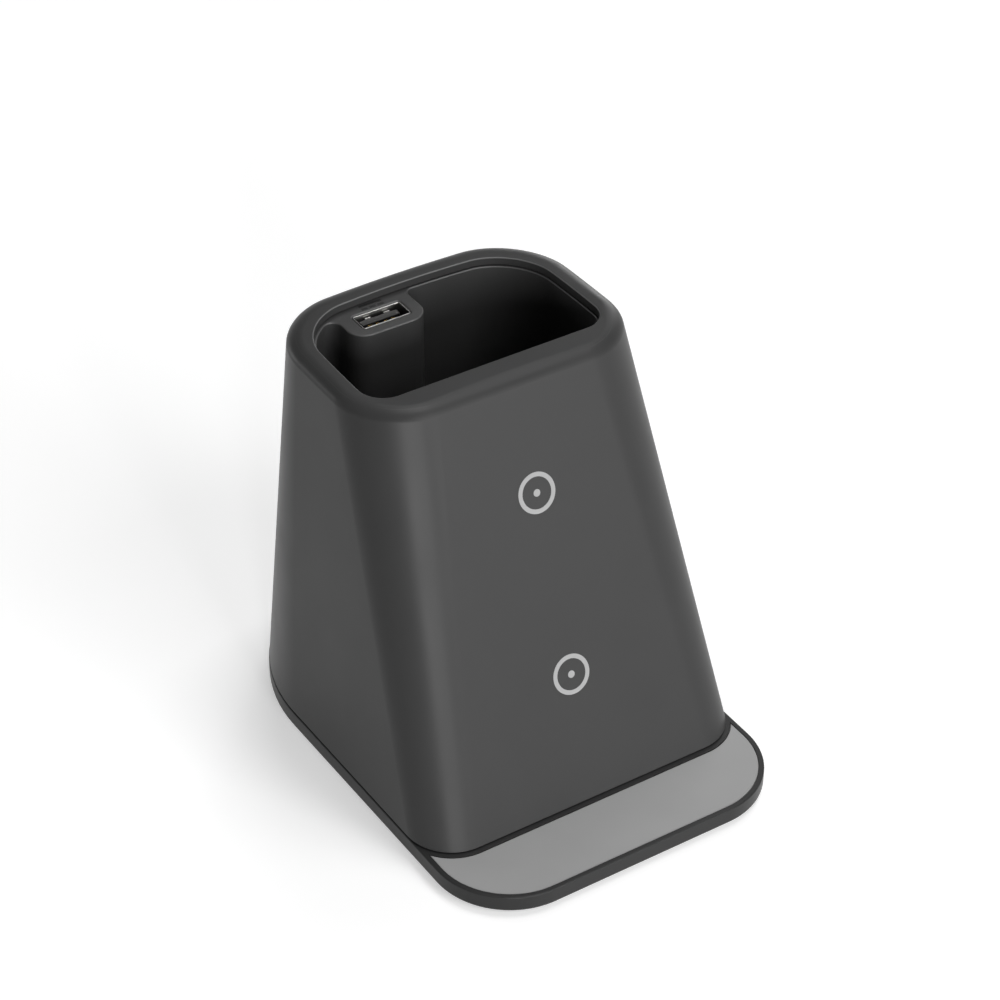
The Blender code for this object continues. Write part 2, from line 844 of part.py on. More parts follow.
def make_cup(plastic):
    """A deep cup under the mouth, with the raised deck that holds the outlet."""
    outside = cup_step - cup_wall
    cup = loft(
        "cup_insert",
        [
            at_height(mouth_plan(outside + cup_draft), cup_bottom),
            at_height(mouth_plan(outside), lip_height),
        ],
    )
    rings = []
    for step in range(EDGE_STEPS + 1):
        turn = math.pi / 2 * step / EDGE_STEPS
        drawn_in = cup_draft + cup_floor_round * (1 - math.sin(turn))
        height = cup_floor + cup_floor_round * (1 - math.cos(turn))
        rings.append(at_height(cup_plan(cup_step + drawn_in), height))
    for step in range(EDGE_STEPS + 1):
        turn = math.pi / 2 * step / EDGE_STEPS
        drawn_out = lip_round * (1 - math.cos(turn))
        height = lip_height - lip_round * (1 - math.sin(turn))
        rings.append(at_height(cup_plan(cup_step - drawn_out), height))
    rings.append(at_height(cup_plan(cup_step - lip_round), lip_height + overrun))
    hollow = loft("cup_hollow", rings)
    behind = box(
        "boss_hollow",
        (boss_left + cup_wall, boss_front + cup_wall, cup_bottom - overrun),
        (boss_right - cup_wall, mouth_back + overrun, lip_height - cup_wall),
    )
    window = plate(
        "outlet_window",
        pill(
            outlet_width + 2 * fit_gap,
            outlet_height + 2 * fit_gap,
            outlet_corner + fit_gap,
            (outlet_x, (outlet_front + outlet_back) / 2),
        ),
        lip_height - cup_wall - overrun,
        lip_height + overrun,
    )
    cut(cup, hollow, behind, window)
    return keep(cup, plastic)


def make_base(plastic):
    """The base: a deck on a skirt, with the pad's bed in front and what locates the rest on top."""
    base = loft(
        "base_tray",
        [
            at_height(base_plan(base_under_chamfer), base_lift),
            at_height(base_plan(), base_lift + base_under_chamfer),
            at_height(base_plan(), base_top - base_upper_chamfer),
            at_height(base_plan(base_upper_chamfer), base_top),
        ],
    )
    cut(base, plate("base_hollow", base_plan(base_skirt), base_lift - overrun, deck_under))
    add_screw_seats(base)
    bed = plate("pad_bed", base_plan(pad_rim), base_top - pad_recess, base_top + overrun)
    cut(bed, body_outline("bed_edge", pad_rim))
    cut(base, bed)
    add_standoffs(base)
    add_locators(base)
    return keep(base, plastic)


def add_screw_seats(base):
    """Under the deck, a sleeve around each screw's head, and a hole for its shank."""
    low = cover_top + fit_gap
    for place, at in screw_places().items():
        radius = screw_head_radius + fit_gap + seat_wall
        join(base, rod(f"seat_{place}", radius, low, deck_under + embed, at))
        cut(base, rod(f"seat_hole_{place}", radius - seat_wall, low - overrun, screw_seat, at))
        radius, high = screw_radius + fit_gap, base_top + overrun
        cut(base, rod(f"shank_hole_{place}", radius, screw_seat - embed, high, at))


def add_standoffs(base):
    """What the main board, the inlet's board and the cup stand on."""
    low, high = base_top - embed, base_top + board_rise
    for index, at in enumerate(standoff_places):
        join(base, rod(f"standoff_{index}", standoff_radius, low, high, at))
    for index, at in enumerate(standoff_places[:2]):
        bottom = board_top - small_length
        cut(base, rod(f"standoff_hole_{index}", small_radius + fit_gap, bottom, board_top, at))
    for side in (-1, 1):
        at = (side * inlet_post_spread / 2, inlet_board_front + inlet_post_inset)
        join(base, rod(f"inlet_post_{side}", standoff_radius, low, high, at))
        for row, y in enumerate((mouth_front + cup_post_inset, mouth_back - cup_post_inset)):
            at, top = (side * (mouth_rear_width / 2 - cup_post_side), y), cup_bottom - fit_gap
            join(base, rod(f"cup_post_{side}_{row}", cup_post_radius, low, top, at))


def add_locators(base):
    """Low bars that the body's foot drops around: one along each side and one along the front."""
    low, high = base_top - embed, base_top + locator_height
    front = face_foot + body_foot_radius + locator_side_inset
    back = body_back - base_rear_radius - locator_side_inset
    outer = inner_half_width(high) - fit_gap
    inner = outer - locator_thickness
    join(base, box("locator_left", (-outer, front, low), (-inner, back, high)))
    join(base, box("locator_right", (inner, front, low), (outer, back, high)))
    front = inner_front(high) + fit_gap
    back = front + locator_thickness
    half = base_width / 2 - body_foot_radius - locator_front_inset
    join(base, box("locator_front", (-half, front, low), (half, back, high)))


def body_outline(name, margin):
    """A cutter with the plan of the body's foot, grown by a margin."""
    ring = body_ring(body_foot, -margin)
    return plate(name, ring, base_lift, base_top + 2 * overrun)


def make_pad(silicone):
    """The pad lies in its bed: the base's outline in front, the body's outline behind."""
    margin = pad_rim + fit_gap
    bottom = base_top - pad_recess + fit_gap
    pad = plate("front_pad", base_plan(margin), bottom, base_top - pad_sunk)
    cut(pad, body_outline("pad_edge", margin))
    return keep(pad, silicone)


def make_cover(plastic):
    cover = plate("bottom_cover", base_plan(base_skirt + fit_gap), base_lift, cover_top)
    for place, at in foot_places().items():
        low, high = base_lift - overrun, base_lift + foot_seat
        cut(cover, rod(f"foot_bed_{place}", foot_radius + fit_gap, low, high, at))
    return keep(cover, plastic)


def make_feet(rubber):
    top = base_lift + foot_seat - fit_gap
    profile = [
        (0.0, top),
        (foot_radius, top),
        (foot_radius, foot_edge),
        (foot_radius - foot_edge, 0.0),
        (0.0, 0.0),
    ]
    for place, (x, y) in foot_places().items():
        foot = turned(f"foot_{place}", profile, FOOT_STEPS)
        foot.location = (x, y, 0.0)
        keep(foot, rubber)


def screw_profile(head_radius, head_height, radius, length, point):
    """Head above the seat at zero height, shank and point below it."""
    return [
        (0.0, head_height),
        (head_radius * head_top_share, head_height),
        (head_radius, head_height * head_edge_share),
        (head_radius, 0.0),
        (radius, 0.0),
        (radius, point - length),
        (radius * point_share, -length),
        (0.0, -length),
    ]


def make_screws(steel, mount):
    long_profile = screw_profile(
        screw_head_radius,
        screw_head_height,
        screw_radius,
        screw_length,
        screw_point,
    )
    for place, (x, y) in screw_places().items():
        screw = turned(f"body_screw_{place}", long_profile, SCREW_STEPS)
        screw.location = (x, y, screw_seat - fit_gap)
        screw.rotation_euler.x = math.pi
        keep(screw, steel)
    short_profile = screw_profile(
        small_head_radius,
        small_head_height,
        small_radius,
        small_length,
        small_radius,
    )
    for index, (x, y) in enumerate(standoff_places[:2]):
        screw = turned(f"board_screw_{index + 1}", short_profile, SCREW_STEPS)
        screw.location = (x, y, board_top + fit_gap)
        keep(screw, steel)
    for index, (side, rise) in enumerate(post_places):
        screw = turned(f"bracket_screw_{index + 1}", short_profile, SCREW_STEPS)
        screw.parent = mount
        screw.location = (side, bracket_far + fit_gap, rise)
        screw.rotation_euler.x = -math.pi / 2
        keep(screw, steel)


def coil_route(rise):
    """A flat spiral from its inner to its outer turn, whose two tails bend back through the bracket."""
    route = [Vector((-tail_bend, tail_depth, rise - coil_inner_radius))]
    for step in range(TAIL_STEPS):
        turn = math.pi / 2 * (1 - step / TAIL_STEPS)
        back = coil_depth + tail_bend * (1 - math.cos(turn))
        route.append(Vector((-tail_bend * math.sin(turn), back, rise - coil_inner_radius)))
    steps = coil_turns * COIL_STEPS
    for step in range(steps + 1):
        turn = 2 * math.pi * step / COIL_STEPS - math.pi / 2
        radius = coil_inner_radius + (coil_outer_radius - coil_inner_radius) * step / steps
        route.append(Vector((radius * math.cos(turn), coil_depth, rise + radius * math.sin(turn))))
    for step in range(1, TAIL_STEPS + 1):
        turn = math.pi / 2 * step / TAIL_STEPS
        back = coil_depth + tail_bend * (1 - math.cos(turn))
        route.append(Vector((tail_bend * math.sin(turn), back, rise - coil_outer_radius)))
    route.append(Vector((tail_bend, tail_depth, rise - coil_outer_radius)))
    return route


def least_gap(route, thickness):
    """The nearest that a tube comes to itself, between points more than half a turn apart."""
    points = np.array([tuple(point) for point in route])
    apart = np.linalg.norm(points[:, None] - points[None, :], axis=2)
    index = np.arange(len(points))
    far = abs(index[:, None] - index[None, :]) > COIL_STEPS / 2
    return apart[far].min() - thickness


def tail_places(rise):
    return {
        "inner": (-tail_bend, rise - coil_inner_radius),
        "outer": (tail_bend, rise - coil_outer_radius),
    }


def make_coils(copper, ferrite, mount):
    for name, rise in (("upper", coil_upper_rise), ("lower", coil_lower_rise)):
        route = coil_route(rise)
        coil = tube(f"{name}_coil", route, coil_wire, copper, roundness=1)
        coil.parent = mount
        print(f"{name} coil: least gap to itself {least_gap(route, coil_wire) / MM:.2f} mm")
        far = ferrite_near + ferrite_thickness
        disc = face_rod(f"{name}_ferrite", ferrite_radius, ferrite_near, far, 0.0, rise, mount)
        near, far = ferrite_near - overrun, far + overrun
        cut(disc, face_rod(f"{name}_bore", ferrite_bore, near, far, 0.0, rise, mount))
        cut(disc, *tail_cutters(f"{name}_ferrite", rise, mount))
        keep(disc, ferrite)


def tail_cutters(name, rise, mount):
    near, far = ferrite_near - overrun / 2, bracket_far + overrun
    cutter_list = []
    for end, (side, height) in tail_places(rise).items():
        across = side - math.copysign(tail_hole_shift, side)
        hole = face_rod(f"{name}_{end}_hole", tail_hole, near, far, across, height, mount)
        cutter_list.append(hole)
    return cutter_list


def make_bracket(plastic, mount):
    """The plate that carries both coils, held on four posts behind the front face."""
    middle = (bracket_low + bracket_high) / 2
    plan = pill(bracket_width, bracket_high - bracket_low, bracket_corner, (0.0, middle))
    bracket = plate("coil_bracket", plan, -bracket_thickness / 2, bracket_thickness / 2)
    stood_up(bracket, (0.0, bracket_near + bracket_thickness / 2, 0.0), mount)
    near, far = bracket_near - overrun, bracket_far + overrun
    for name, rise in (("upper", coil_upper_rise), ("lower", coil_lower_rise)):
        cut(bracket, face_rod(f"{name}_window", ferrite_bore, near, far, 0.0, rise, mount))
        cut(bracket, *tail_cutters(f"{name}_bracket", rise, mount))
    for index, (side, rise) in enumerate(post_places):
        radius = small_radius + fit_gap
        cut(bracket, face_rod(f"bracket_hole_{index}", radius, near, far, side, rise, mount))
    return keep(bracket, plastic)


# What stands on the main board, row by row from its front: the gap at each side, then the sizes
resonant_size = (resonant_width, resonant_depth, resonant_height)
driver_size = (driver_width, driver_depth, controller_height)
board_rows = (
    (
        component_gap_screw,
        {
            "resonant_capacitor_1": resonant_size,
            "resonant_capacitor_2": resonant_size,
            "bulk_capacitor": (2 * bulk_radius, 2 * bulk_radius, bulk_height),
        },
    ),
    (
        component_gap_side,
        {
            "resonant_capacitor_3": resonant_size,
            "resonant_capacitor_4": resonant_size,
            "filter_inductor": (inductor_side, inductor_side, inductor_height),
        },
    ),
    (
        component_gap_screw,
        {
            "controller_chip": (controller_side, controller_side, controller_height),
            "upper_coil_driver": driver_size,
            "lower_coil_driver": driver_size,
        },
    ),
)


def spread(sizes, start, end):
    """The middles of things laid side by side over a stretch, with equal gaps between them."""
    gap = (end - start - sum(sizes)) / (len(sizes) - 1)
    middles = []
    for size in sizes:
        middles.append(start + size / 2)
        start += size + gap
    return middles


def component_boxes():
    """The lowest and highest corner of each component on the main board."""
    boxes = {}
    row_depths = [max(size[1] for size in row.values()) for _, row in board_rows]
    start, end = board_front + component_gap_front, board_back - component_gap_back
    for y, (side, row) in zip(spread(row_depths, start, end), board_rows):
        half = board_width / 2 - side
        widths = [size[0] for size in row.values()]
        for x, (name, size) in zip(spread(widths, -half, half), row.items()):
            low = Vector((x - size[0] / 2, y - size[1] / 2, board_top + fit_gap))
            boxes[name] = (low, low + Vector(size))
    return boxes


def make_main_board(finishes):
    plan = pill(board_width, board_back - board_front, board_corner, (0.0, (board_front + board_back) / 2))
    board = plate("main_board", plan, board_bottom, board_top)
    for index, at in enumerate(standoff_places):
        low, high = board_bottom - overrun, board_top + overrun
        cut(board, rod(f"board_hole_{index}", small_radius + fit_gap, low, high, at))
    keep(board, finishes["board"])


def make_components(finishes):
    for name, (low, high) in component_boxes().items():
        if name == "bulk_capacitor":
            middle = (low + high) / 2
            keep(rod(name, bulk_radius, low.z, high.z, middle), finishes["can"])
        elif name == "filter_inductor":
            keep(rounded_box(name, low, high, inductor_corner), finishes["ferrite"])
        elif name.startswith("resonant"):
            keep(box(name, low, high), finishes["capacitor"])
        else:
            keep(box(name, low, high), finishes["chip"])


def make_outlet(finishes):
    """The outlet in the deck: a metal shell, the tongue inside it and the board that carries both."""
    middle = (outlet_x, (outlet_front + outlet_back) / 2)
    bottom = outlet_top - outlet_length
    outside = pill(outlet_width, outlet_height, outlet_corner, middle)
    inside = pill(
        outlet_width - 2 * outlet_metal,
        outlet_height - 2 * outlet_metal,
        outlet_corner - outlet_metal,
        middle,
    )
    shell = plate("outlet_shell", outside, bottom, outlet_top)
    cut(shell, plate("outlet_bore", inside, bottom + outlet_metal, outlet_top + overrun))
    keep(shell, finishes["metal"])

    root_bottom = bottom + outlet_metal + fit_gap
    space = outlet_metal + fit_gap
    root = box(
        "outlet_tongue",
        (middle[0] - outlet_width / 2 + space, outlet_front + space, root_bottom),
        (middle[0] + outlet_width / 2 - space, outlet_back - space, root_bottom + tongue_root),
    )
    back = outlet_back - space - fit_gap
    tongue = box(
        "tongue_blade",
        (middle[0] - tongue_width / 2, back - tongue_thickness, root_bottom + tongue_root / 2),
        (middle[0] + tongue_width / 2, back, outlet_top - tongue_sunk),
    )
    join(root, tongue)
    keep(root, finishes["insulator"])

    board_high = lip_height - cup_wall - fit_gap
    board = box(
        "outlet_board",
        (boss_left + cup_wall + fit_gap, outlet_back + fit_gap, board_high - outlet_board_length),
        (boss_right - cup_wall - fit_gap, outlet_back + fit_gap + board_thin, board_high),
    )
    keep(board, finishes["board"])


def make_inlet(finishes):
    """The power inlet low at the back: a small flat socket on its own board."""
    radius = inlet_height * round_end_share
    outside = pill(inlet_width, inlet_height, radius)
    shell = plate("inlet_shell", outside, -inlet_length / 2, inlet_length / 2)
    middle = (0.0, inlet_face - inlet_length / 2, inlet_middle)
    stood_up(shell, middle)
    gap = 2 * inlet_metal
    bore = plate(
        "inlet_bore",
        pill(inlet_width - gap, inlet_height - gap, radius - inlet_metal),
        -inlet_length / 2,
        inlet_length / 2,
    )
    cut(shell, stood_up(bore, (middle[0], middle[1] + inlet_metal, middle[2])))
    keep(shell, finishes["metal"])
    root_front = inlet_face - inlet_length + inlet_metal + fit_gap
    half = inlet_tongue_width / 2
    thick = inlet_tongue_thickness / 2
    tongue = box(
        "inlet_tongue",
        (-half, root_front, inlet_middle - thick),
        (half, root_front + inlet_tongue_length, inlet_middle + thick),
    )
    keep(tongue, finishes["insulator"])
    board = box(
        "inlet_board",
        (-inlet_board_width / 2, inlet_board_front, board_bottom),
        (inlet_board_width / 2, inlet_board_back, inlet_board_top),
    )
    keep(board, finishes["board"])


def make_coil_leads(sleeve):
    """Two leads from each coil's tails down to the front of the main board."""
    inwards = Vector((0.0, math.cos(lean), -math.sin(lean)))
    rows = (
        ("upper", coil_upper_rise, upper_lead_side),
        ("lower", coil_lower_rise, lower_lead_side),
    )
    for name, rise, lead_side in rows:
        for end, (side, height) in tail_places(rise).items():
            start = on_face(side, tail_depth + fit_gap, height)
            x, y = math.copysign(lead_side, side), board_front + lead_behind
            foot = Vector((x, y, board_top + fit_gap))
            above = foot + Vector((0.0, 0.0, lead_drop))
            route = smooth([start, start + inwards * lead_start, above, foot], lead_step)
            tube(f"{name}_coil_lead_{end}", route, lead_thickness, sleeve)


def make_supply_cable(sleeve):
    """From the inlet's board, under the cup, to the back of the main board."""
    inlet_level = (board_bottom + inlet_board_top) / 2
    board_level = (board_bottom + board_top) / 2
    route = [
        (cable_side, inlet_board_front - fit_gap, inlet_level),
        (cable_side, inlet_board_front - cable_thickness, inlet_level),
        (cable_side, mouth_back + cable_thickness, under_cup),
        (cable_side, (mouth_front + mouth_back) / 2, under_cup),
        (cable_side, mouth_front - cup_wall + cable_thickness, under_cup),
        (cable_side, board_back + cable_start, board_level),
        (cable_side, board_back + fit_gap, board_level),
    ]
    tube("supply_cable", smooth(route, lead_step), cable_thickness, sleeve)


def make_outlet_cable(sleeve):
    """From the main board, under the cup and up behind it, to the outlet's board."""
    x = outlet_x
    board_level = (board_bottom + board_top) / 2
    across = outlet_back + fit_gap + board_thin / 2
    low_edge = lip_height - cup_wall - fit_gap - outlet_board_length
    route = [
        (x, board_back + fit_gap, board_level),
        (x, board_back + cable_start, board_level),
        (x, mouth_front - cup_wall + cable_thickness, under_cup),
        (x, across - 2 * cable_bend, under_cup),
        (x, across - cable_bend / 2, under_cup + cable_bend / 2),
        (x, across, under_cup + 2 * cable_bend),
        (x, across, low_edge - cable_bend),
        (x, across, low_edge - fit_gap),
    ]
    tube("outlet_cable", smooth(route, lead_step), cable_thickness, sleeve)


def make_finishes():
    return {
        "body": material("soft_touch_charcoal_plastic", (0.075, 0.075, 0.077), 0.5),
        "cup": material("fine_matt_black_plastic", (0.018, 0.018, 0.018), 0.6),
        "base": material("matt_charcoal_plastic", (0.06, 0.06, 0.061), 0.5),
        "pad": material("grey_silicone", (0.3, 0.3, 0.3), 0.8),
        "rubber": material("black_rubber", (0.02, 0.02, 0.02), 0.8),
        "bracket": material("natural_nylon", (0.6, 0.6, 0.57), 0.5),
        "steel": material("zinc_plated_steel", (0.6, 0.61, 0.63), 0.35, 1.0),
        "metal": material("nickel_plated_steel", (0.55, 0.55, 0.54), 0.3, 1.0),
        "insulator": material("black_socket_plastic", (0.015, 0.015, 0.015), 0.5),
        "copper": material("enamelled_copper", (0.75, 0.3, 0.12), 0.35, 1.0),
        "ferrite": material("sintered_ferrite", (0.035, 0.035, 0.04), 0.6),
        "board": material("green_circuit_board", (0.02, 0.12, 0.05), 0.45),
        "chip": material("black_epoxy", (0.02, 0.02, 0.022), 0.4),
        "capacitor": material("tan_film_capacitor", (0.45, 0.28, 0.1), 0.45),
        "can": material("aluminium_can", (0.7, 0.7, 0.72), 0.35, 1.0),
        "lead": material("red_lead_sleeve", (0.4, 0.03, 0.02), 0.5),
        "cable": material("black_cable_sleeve", (0.02, 0.02, 0.02), 0.55),
    }


def main():
    start_scene()
    finishes = make_finishes()
    mount = face_mount()
    make_body(finishes["body"], mount)
    make_cup(finishes["cup"])
    make_base(finishes["base"])
    make_pad(finishes["pad"])
    make_cover(finishes["base"])
    make_feet(finishes["rubber"])
    make_screws(finishes["steel"], mount)
    make_coils(finishes["copper"], finishes["ferrite"], mount)
    make_bracket(finishes["bracket"], mount)
    make_main_board(finishes)
    make_components(finishes)
    make_outlet(finishes)
    make_inlet(finishes)
    make_coil_leads(finishes["lead"])
    make_supply_cable(finishes["cable"])
    make_outlet_cable(finishes["cable"])


main()
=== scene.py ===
"""Dresses a pen holder that charges a phone on its leaning face, and lights it on a pale floor.

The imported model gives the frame. The visible shells are made again here with finer corners and
edges, the sockets get their contacts and springs, the face gets its two printed rings, and every
piece gets its finish. Metres, +Z up, front towards -Y, origin under the middle of the base.
"""

import json
import math

import bmesh
import bpy
from mathutils import Matrix, Vector


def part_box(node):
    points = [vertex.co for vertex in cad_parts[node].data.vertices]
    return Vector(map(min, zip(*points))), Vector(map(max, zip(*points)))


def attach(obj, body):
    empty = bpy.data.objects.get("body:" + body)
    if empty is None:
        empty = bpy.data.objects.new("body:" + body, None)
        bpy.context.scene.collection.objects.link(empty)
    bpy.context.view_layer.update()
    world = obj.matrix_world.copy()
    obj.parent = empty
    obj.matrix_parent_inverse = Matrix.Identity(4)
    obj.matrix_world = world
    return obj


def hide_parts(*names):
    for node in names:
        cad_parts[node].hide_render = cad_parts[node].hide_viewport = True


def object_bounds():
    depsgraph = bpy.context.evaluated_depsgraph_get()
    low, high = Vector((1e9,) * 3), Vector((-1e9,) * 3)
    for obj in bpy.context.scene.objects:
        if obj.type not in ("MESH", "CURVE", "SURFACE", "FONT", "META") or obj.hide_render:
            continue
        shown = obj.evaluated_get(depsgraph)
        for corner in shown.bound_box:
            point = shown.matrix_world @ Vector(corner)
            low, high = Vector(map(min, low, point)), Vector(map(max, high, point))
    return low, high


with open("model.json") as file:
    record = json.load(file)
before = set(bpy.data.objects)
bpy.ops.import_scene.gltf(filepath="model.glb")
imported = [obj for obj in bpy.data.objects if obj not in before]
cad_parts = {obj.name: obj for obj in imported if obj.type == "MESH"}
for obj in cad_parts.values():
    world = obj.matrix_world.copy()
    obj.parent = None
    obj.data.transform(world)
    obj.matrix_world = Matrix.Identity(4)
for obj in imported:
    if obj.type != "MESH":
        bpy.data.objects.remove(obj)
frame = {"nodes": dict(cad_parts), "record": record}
cad_low, cad_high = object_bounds()
nodes = frame["nodes"]

MM = 0.001

# The body and the base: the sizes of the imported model, with a tighter rim and a thinner rib
fit_gap = 0.3 * MM
overrun = 3.0 * MM
front_edge = cad_low.y
rear_edge = cad_high.y
base_width = cad_high.x - cad_low.x
base_front_radius = 20.0 * MM
base_rear_radius = 43.0 * MM
base_rear_bow = 2.0 * MM
base_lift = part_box("base_tray")[0].z
base_top = 5.2 * MM
base_under_round = 0.9 * MM
base_upper_round = 0.35 * MM
base_skirt = 2.0 * MM
base_deck = 1.8 * MM
ledge_depth = 20.75 * MM
pad_rim = 1.3 * MM  # the rib of the base round the pad
pad_rib_behind = 1.0 * MM  # and the one between the pad and the body
pad_recess = 1.1 * MM
pad_gap = 0.1 * MM
pad_round = 0.15 * MM

body_step = 0.1 * MM  # how far the body's foot stands in from the base's edge
body_foot = base_top + fit_gap
body_foot_round = 0.2 * MM
body_foot_radius = 12.1 * MM
head_height = 102.1 * MM
head_setback = 56.9 * MM  # behind the front edge of the base
head_front = front_edge + head_setback
head_depth = 55.3 * MM
head_front_width = 76.3 * MM
head_rear_width = 74.0 * MM
head_front_radius = 17.1 * MM
head_rear_radius = 18.9 * MM
head_bow = 1.9 * MM
head_side_bow = 0.5 * MM
body_wall = 2.2 * MM

body_height = cad_high.z
rim_rise = 6.0 * MM  # the roll of the inner wall to the underside of the rim
rim_thickness = 2.0 * MM
shoulder_rise = 2.4 * MM  # the roll from the wall to the flat of the rim: its height
shoulder_run = 4.0 * MM  # and its width
mouth_edge_round = 0.3 * MM
mouth_setback = 66.5 * MM
mouth_depth = 39.4 * MM
mouth_front = front_edge + mouth_setback
mouth_back = mouth_front + mouth_depth
mouth_front_width = 64.7 * MM
mouth_rear_width = 62.1 * MM
mouth_front_radius = 6.3 * MM
mouth_rear_radius = 13.8 * MM
mouth_bow = 2.0 * MM
mouth_side_bow = 0.5 * MM
conic_share = 0.707  # how near a roll comes to its corner
round_end_share = 0.48  # of a socket's height, for ends that are nearly half round

# The cup and its deck
cup_wall = 1.6 * MM
cup_step = 0.4 * MM  # how far the cup's hollow stands in from the mouth
cup_draft = 0.8 * MM
cup_floor = 10.0 * MM
cup_floor_round = 1.0 * MM
lip_round = 0.3 * MM
lip_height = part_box("cup_insert")[1].z
outlet_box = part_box("outlet_shell")
outlet_x = (outlet_box[0].x + outlet_box[1].x) / 2
outlet_y = (outlet_box[0].y + outlet_box[1].y) / 2
outlet_width = outlet_box[1].x - outlet_box[0].x
outlet_height = outlet_box[1].y - outlet_box[0].y
outlet_top = outlet_box[1].z
outlet_corner = 0.7 * MM
outlet_slot_gap = 0.15 * MM
sheath_wall = 0.3 * MM
sheath_round = 0.08 * MM
spring_width = 1.5 * MM
spring_thickness = 0.2 * MM
spring_spread = 5.2 * MM
spring_low, spring_bend, spring_tip = 6.5 * MM, 2.4 * MM, 1.0 * MM  # below the outlet's mouth
spring_reach, spring_tip_reach = 0.75 * MM, 0.35 * MM  # in from the sheath's wall
contact_count = 4
contact_width = 1.0 * MM
contact_pitch = 2.2 * MM
contact_thickness = 0.06 * MM
contact_edge = 0.02 * MM
contact_length = 7.0 * MM
contact_margin = 0.6 * MM
tongue_edge = 0.15 * MM
tongue_overlap = 1.5 * MM
# The tongue's blade, its root and its shoulders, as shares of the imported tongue's size
tongue_thickness_share = 0.41
tongue_root_share = 0.25
tongue_side_share = 0.06

# The mark for direct current, moulded on the deck behind the outlet
deck_mark_width = 6.0 * MM
deck_mark_stroke = 0.7 * MM
deck_mark_gap = 0.6 * MM
deck_mark_height = 0.1 * MM
deck_mark_edge = 0.03 * MM
deck_mark_behind = 0.9 * MM
deck_mark_sink = 0.01 * MM

# The boss that carries the deck: how far it reaches past the outlet, and its corners
boss_margin_left, boss_margin_right, boss_margin_front = 3.35 * MM, 3.0 * MM, 2.8 * MM
boss_left = outlet_box[0].x - boss_margin_left
boss_right = outlet_box[1].x + boss_margin_right
boss_front = outlet_box[0].y - boss_margin_front
boss_front_radius = 4.4 * MM
boss_root_radius = 2.4 * MM
boss_nook_radius = 2.9 * MM
boss_nook_angle = math.radians(122)  # where the wall leaves the corner's arc for the boss

# The leaning face
face_foot = front_edge + ledge_depth
body_back = rear_edge - body_step
lean = math.atan2(head_front - face_foot, head_height - body_foot)
coil_upper_rise = 78.1 * MM
coil_lower_rise = 32.2 * MM

# The inlet at the back
inlet_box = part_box("inlet_shell")
plug_recess_width = 13.5 * MM
plug_recess_height = 7.0 * MM
plug_recess_depth = 0.8 * MM
plug_recess_flare = 0.25 * MM
inlet_contact_width = 0.25 * MM
inlet_contact_pitch = 0.5 * MM
inlet_contact_length = 3.6 * MM
inlet_contact_inset = 0.5 * MM
inlet_contact_count = 12

# The printed rings on the face
ring_radius = 5.0 * MM
ring_stroke = 1.1 * MM
dot_radius = 0.9 * MM
ink_thickness = 0.03 * MM
ink_lift = 0.01 * MM

# What the moulded finishes share
patch_size = 18.0 * MM
roughness_spread = 0.03
noise_low, noise_high = 0.3, 0.7  # nearly all of a noise lies between these
noise_detail, wear_detail = 2.0, 4.0
highlight_starts, highlight_full = 0.96, 0.85  # how far up the normal points on the edge that gets the painted highlight

# The streaks of the metals, the strands of the coils and the tracks of the boards
streak_stretch = 0.08
streak_depth = 0.002 * MM
strand_pitch = 3.0 * MM
strand_depth = 0.05 * MM
strand_waver = 1.5
track_gap = 0.2 * MM
track_length = 5.0 * MM
track_pitch = 1.6 * MM
track_depth = 0.03 * MM

# A foot's profile, from its seat down and in to the middle, as shares of its radius and height
foot_profile_shares = (
    (1.0, 1.0),
    (1.0, 0.32),
    (0.985, 0.12),
    (0.93, 0.0),
    (0.62, 0.0),
    (0.60, 0.18),
    (0.54, 0.18),
    (0.52, 0.0),
    (0.32, 0.0),
    (0.30, 0.18),
    (0.24, 0.18),
    (0.22, 0.0),
)

# The photograph's view: the place, the turn and the lens that fit its outlines
camera_place = Vector((-0.32938, -0.49448, 0.51213))
camera_turn = (-33.785, 36.929, -0.907)  # azimuth, elevation and roll, in degrees
camera_lens, camera_sensor = 113.293, 36.0  # in millimetres
camera_nearest = 10.0 * MM

# The studio
lamp_aim = Vector((0.0, 0.0, 50.0 * MM))
lamp_distance = 2.6
# Each lamp's azimuth from the front, positive to the right, and its elevation, in degrees, its
# width and height in metres, and its power in watts
lamps = {
    # The key fills the face and gives the floor its wide shadow, back and to the left
    "key_softbox": (16, 41, 1.4, 1.4, 23.7),
    # These two come over the body from behind, and draw the narrow shadow along its left side
    "rear_softbox": (140, 55, 0.8, 0.8, 9.8),
    "right_softbox": (100, 75, 0.8, 0.8, 20.9),
    # The front light gives the face its sheen, and the strips the bright line down the corner
    "front_softbox": (20, 12, 0.8, 0.8, 17.2),
    "edge_strip": (-26, 6, 0.24, 1.4, 31.6),
    "face_strip": (-9, 6, 0.24, 1.4, 20.9),
    # The low light from behind draws the thin line along the cup's lip
    "lip_softbox": (132, 12, 0.8, 0.8, 8.4),
    # The back light grazes the left side and lifts the back
    "back_softbox": (-150, 10, 0.8, 0.8, 8.8),
}
floor_size = 8.0
floor_seen = 0.73  # the share of the lamps' light that the floor gives back to the eye
floor_bounce = 0.3  # and the share that it gives back to the object
floor_glow = 0.46  # what the eye sees of it without a lamp
room_glow = 0.03  # the fill from all round
# Sines of the heights over the horizon at which the backdrop starts to fade, and has gone
backdrop_full, backdrop_ends = 0.1, 0.35

WHITE = (1.0, 1.0, 1.0, 1.0)
SHARP_ANGLE = math.radians(32.0)

CORNER_STEPS = 24
SIDE_STEPS = 5
WALL_BANDS = 12
RIM_STEPS = 16
EDGE_STEPS = 5
BEVEL_STEPS = 3
CUP_CORNER_STEPS = 14
PILL_STEPS = 8
ROUND_STEPS = 64


# Shapes


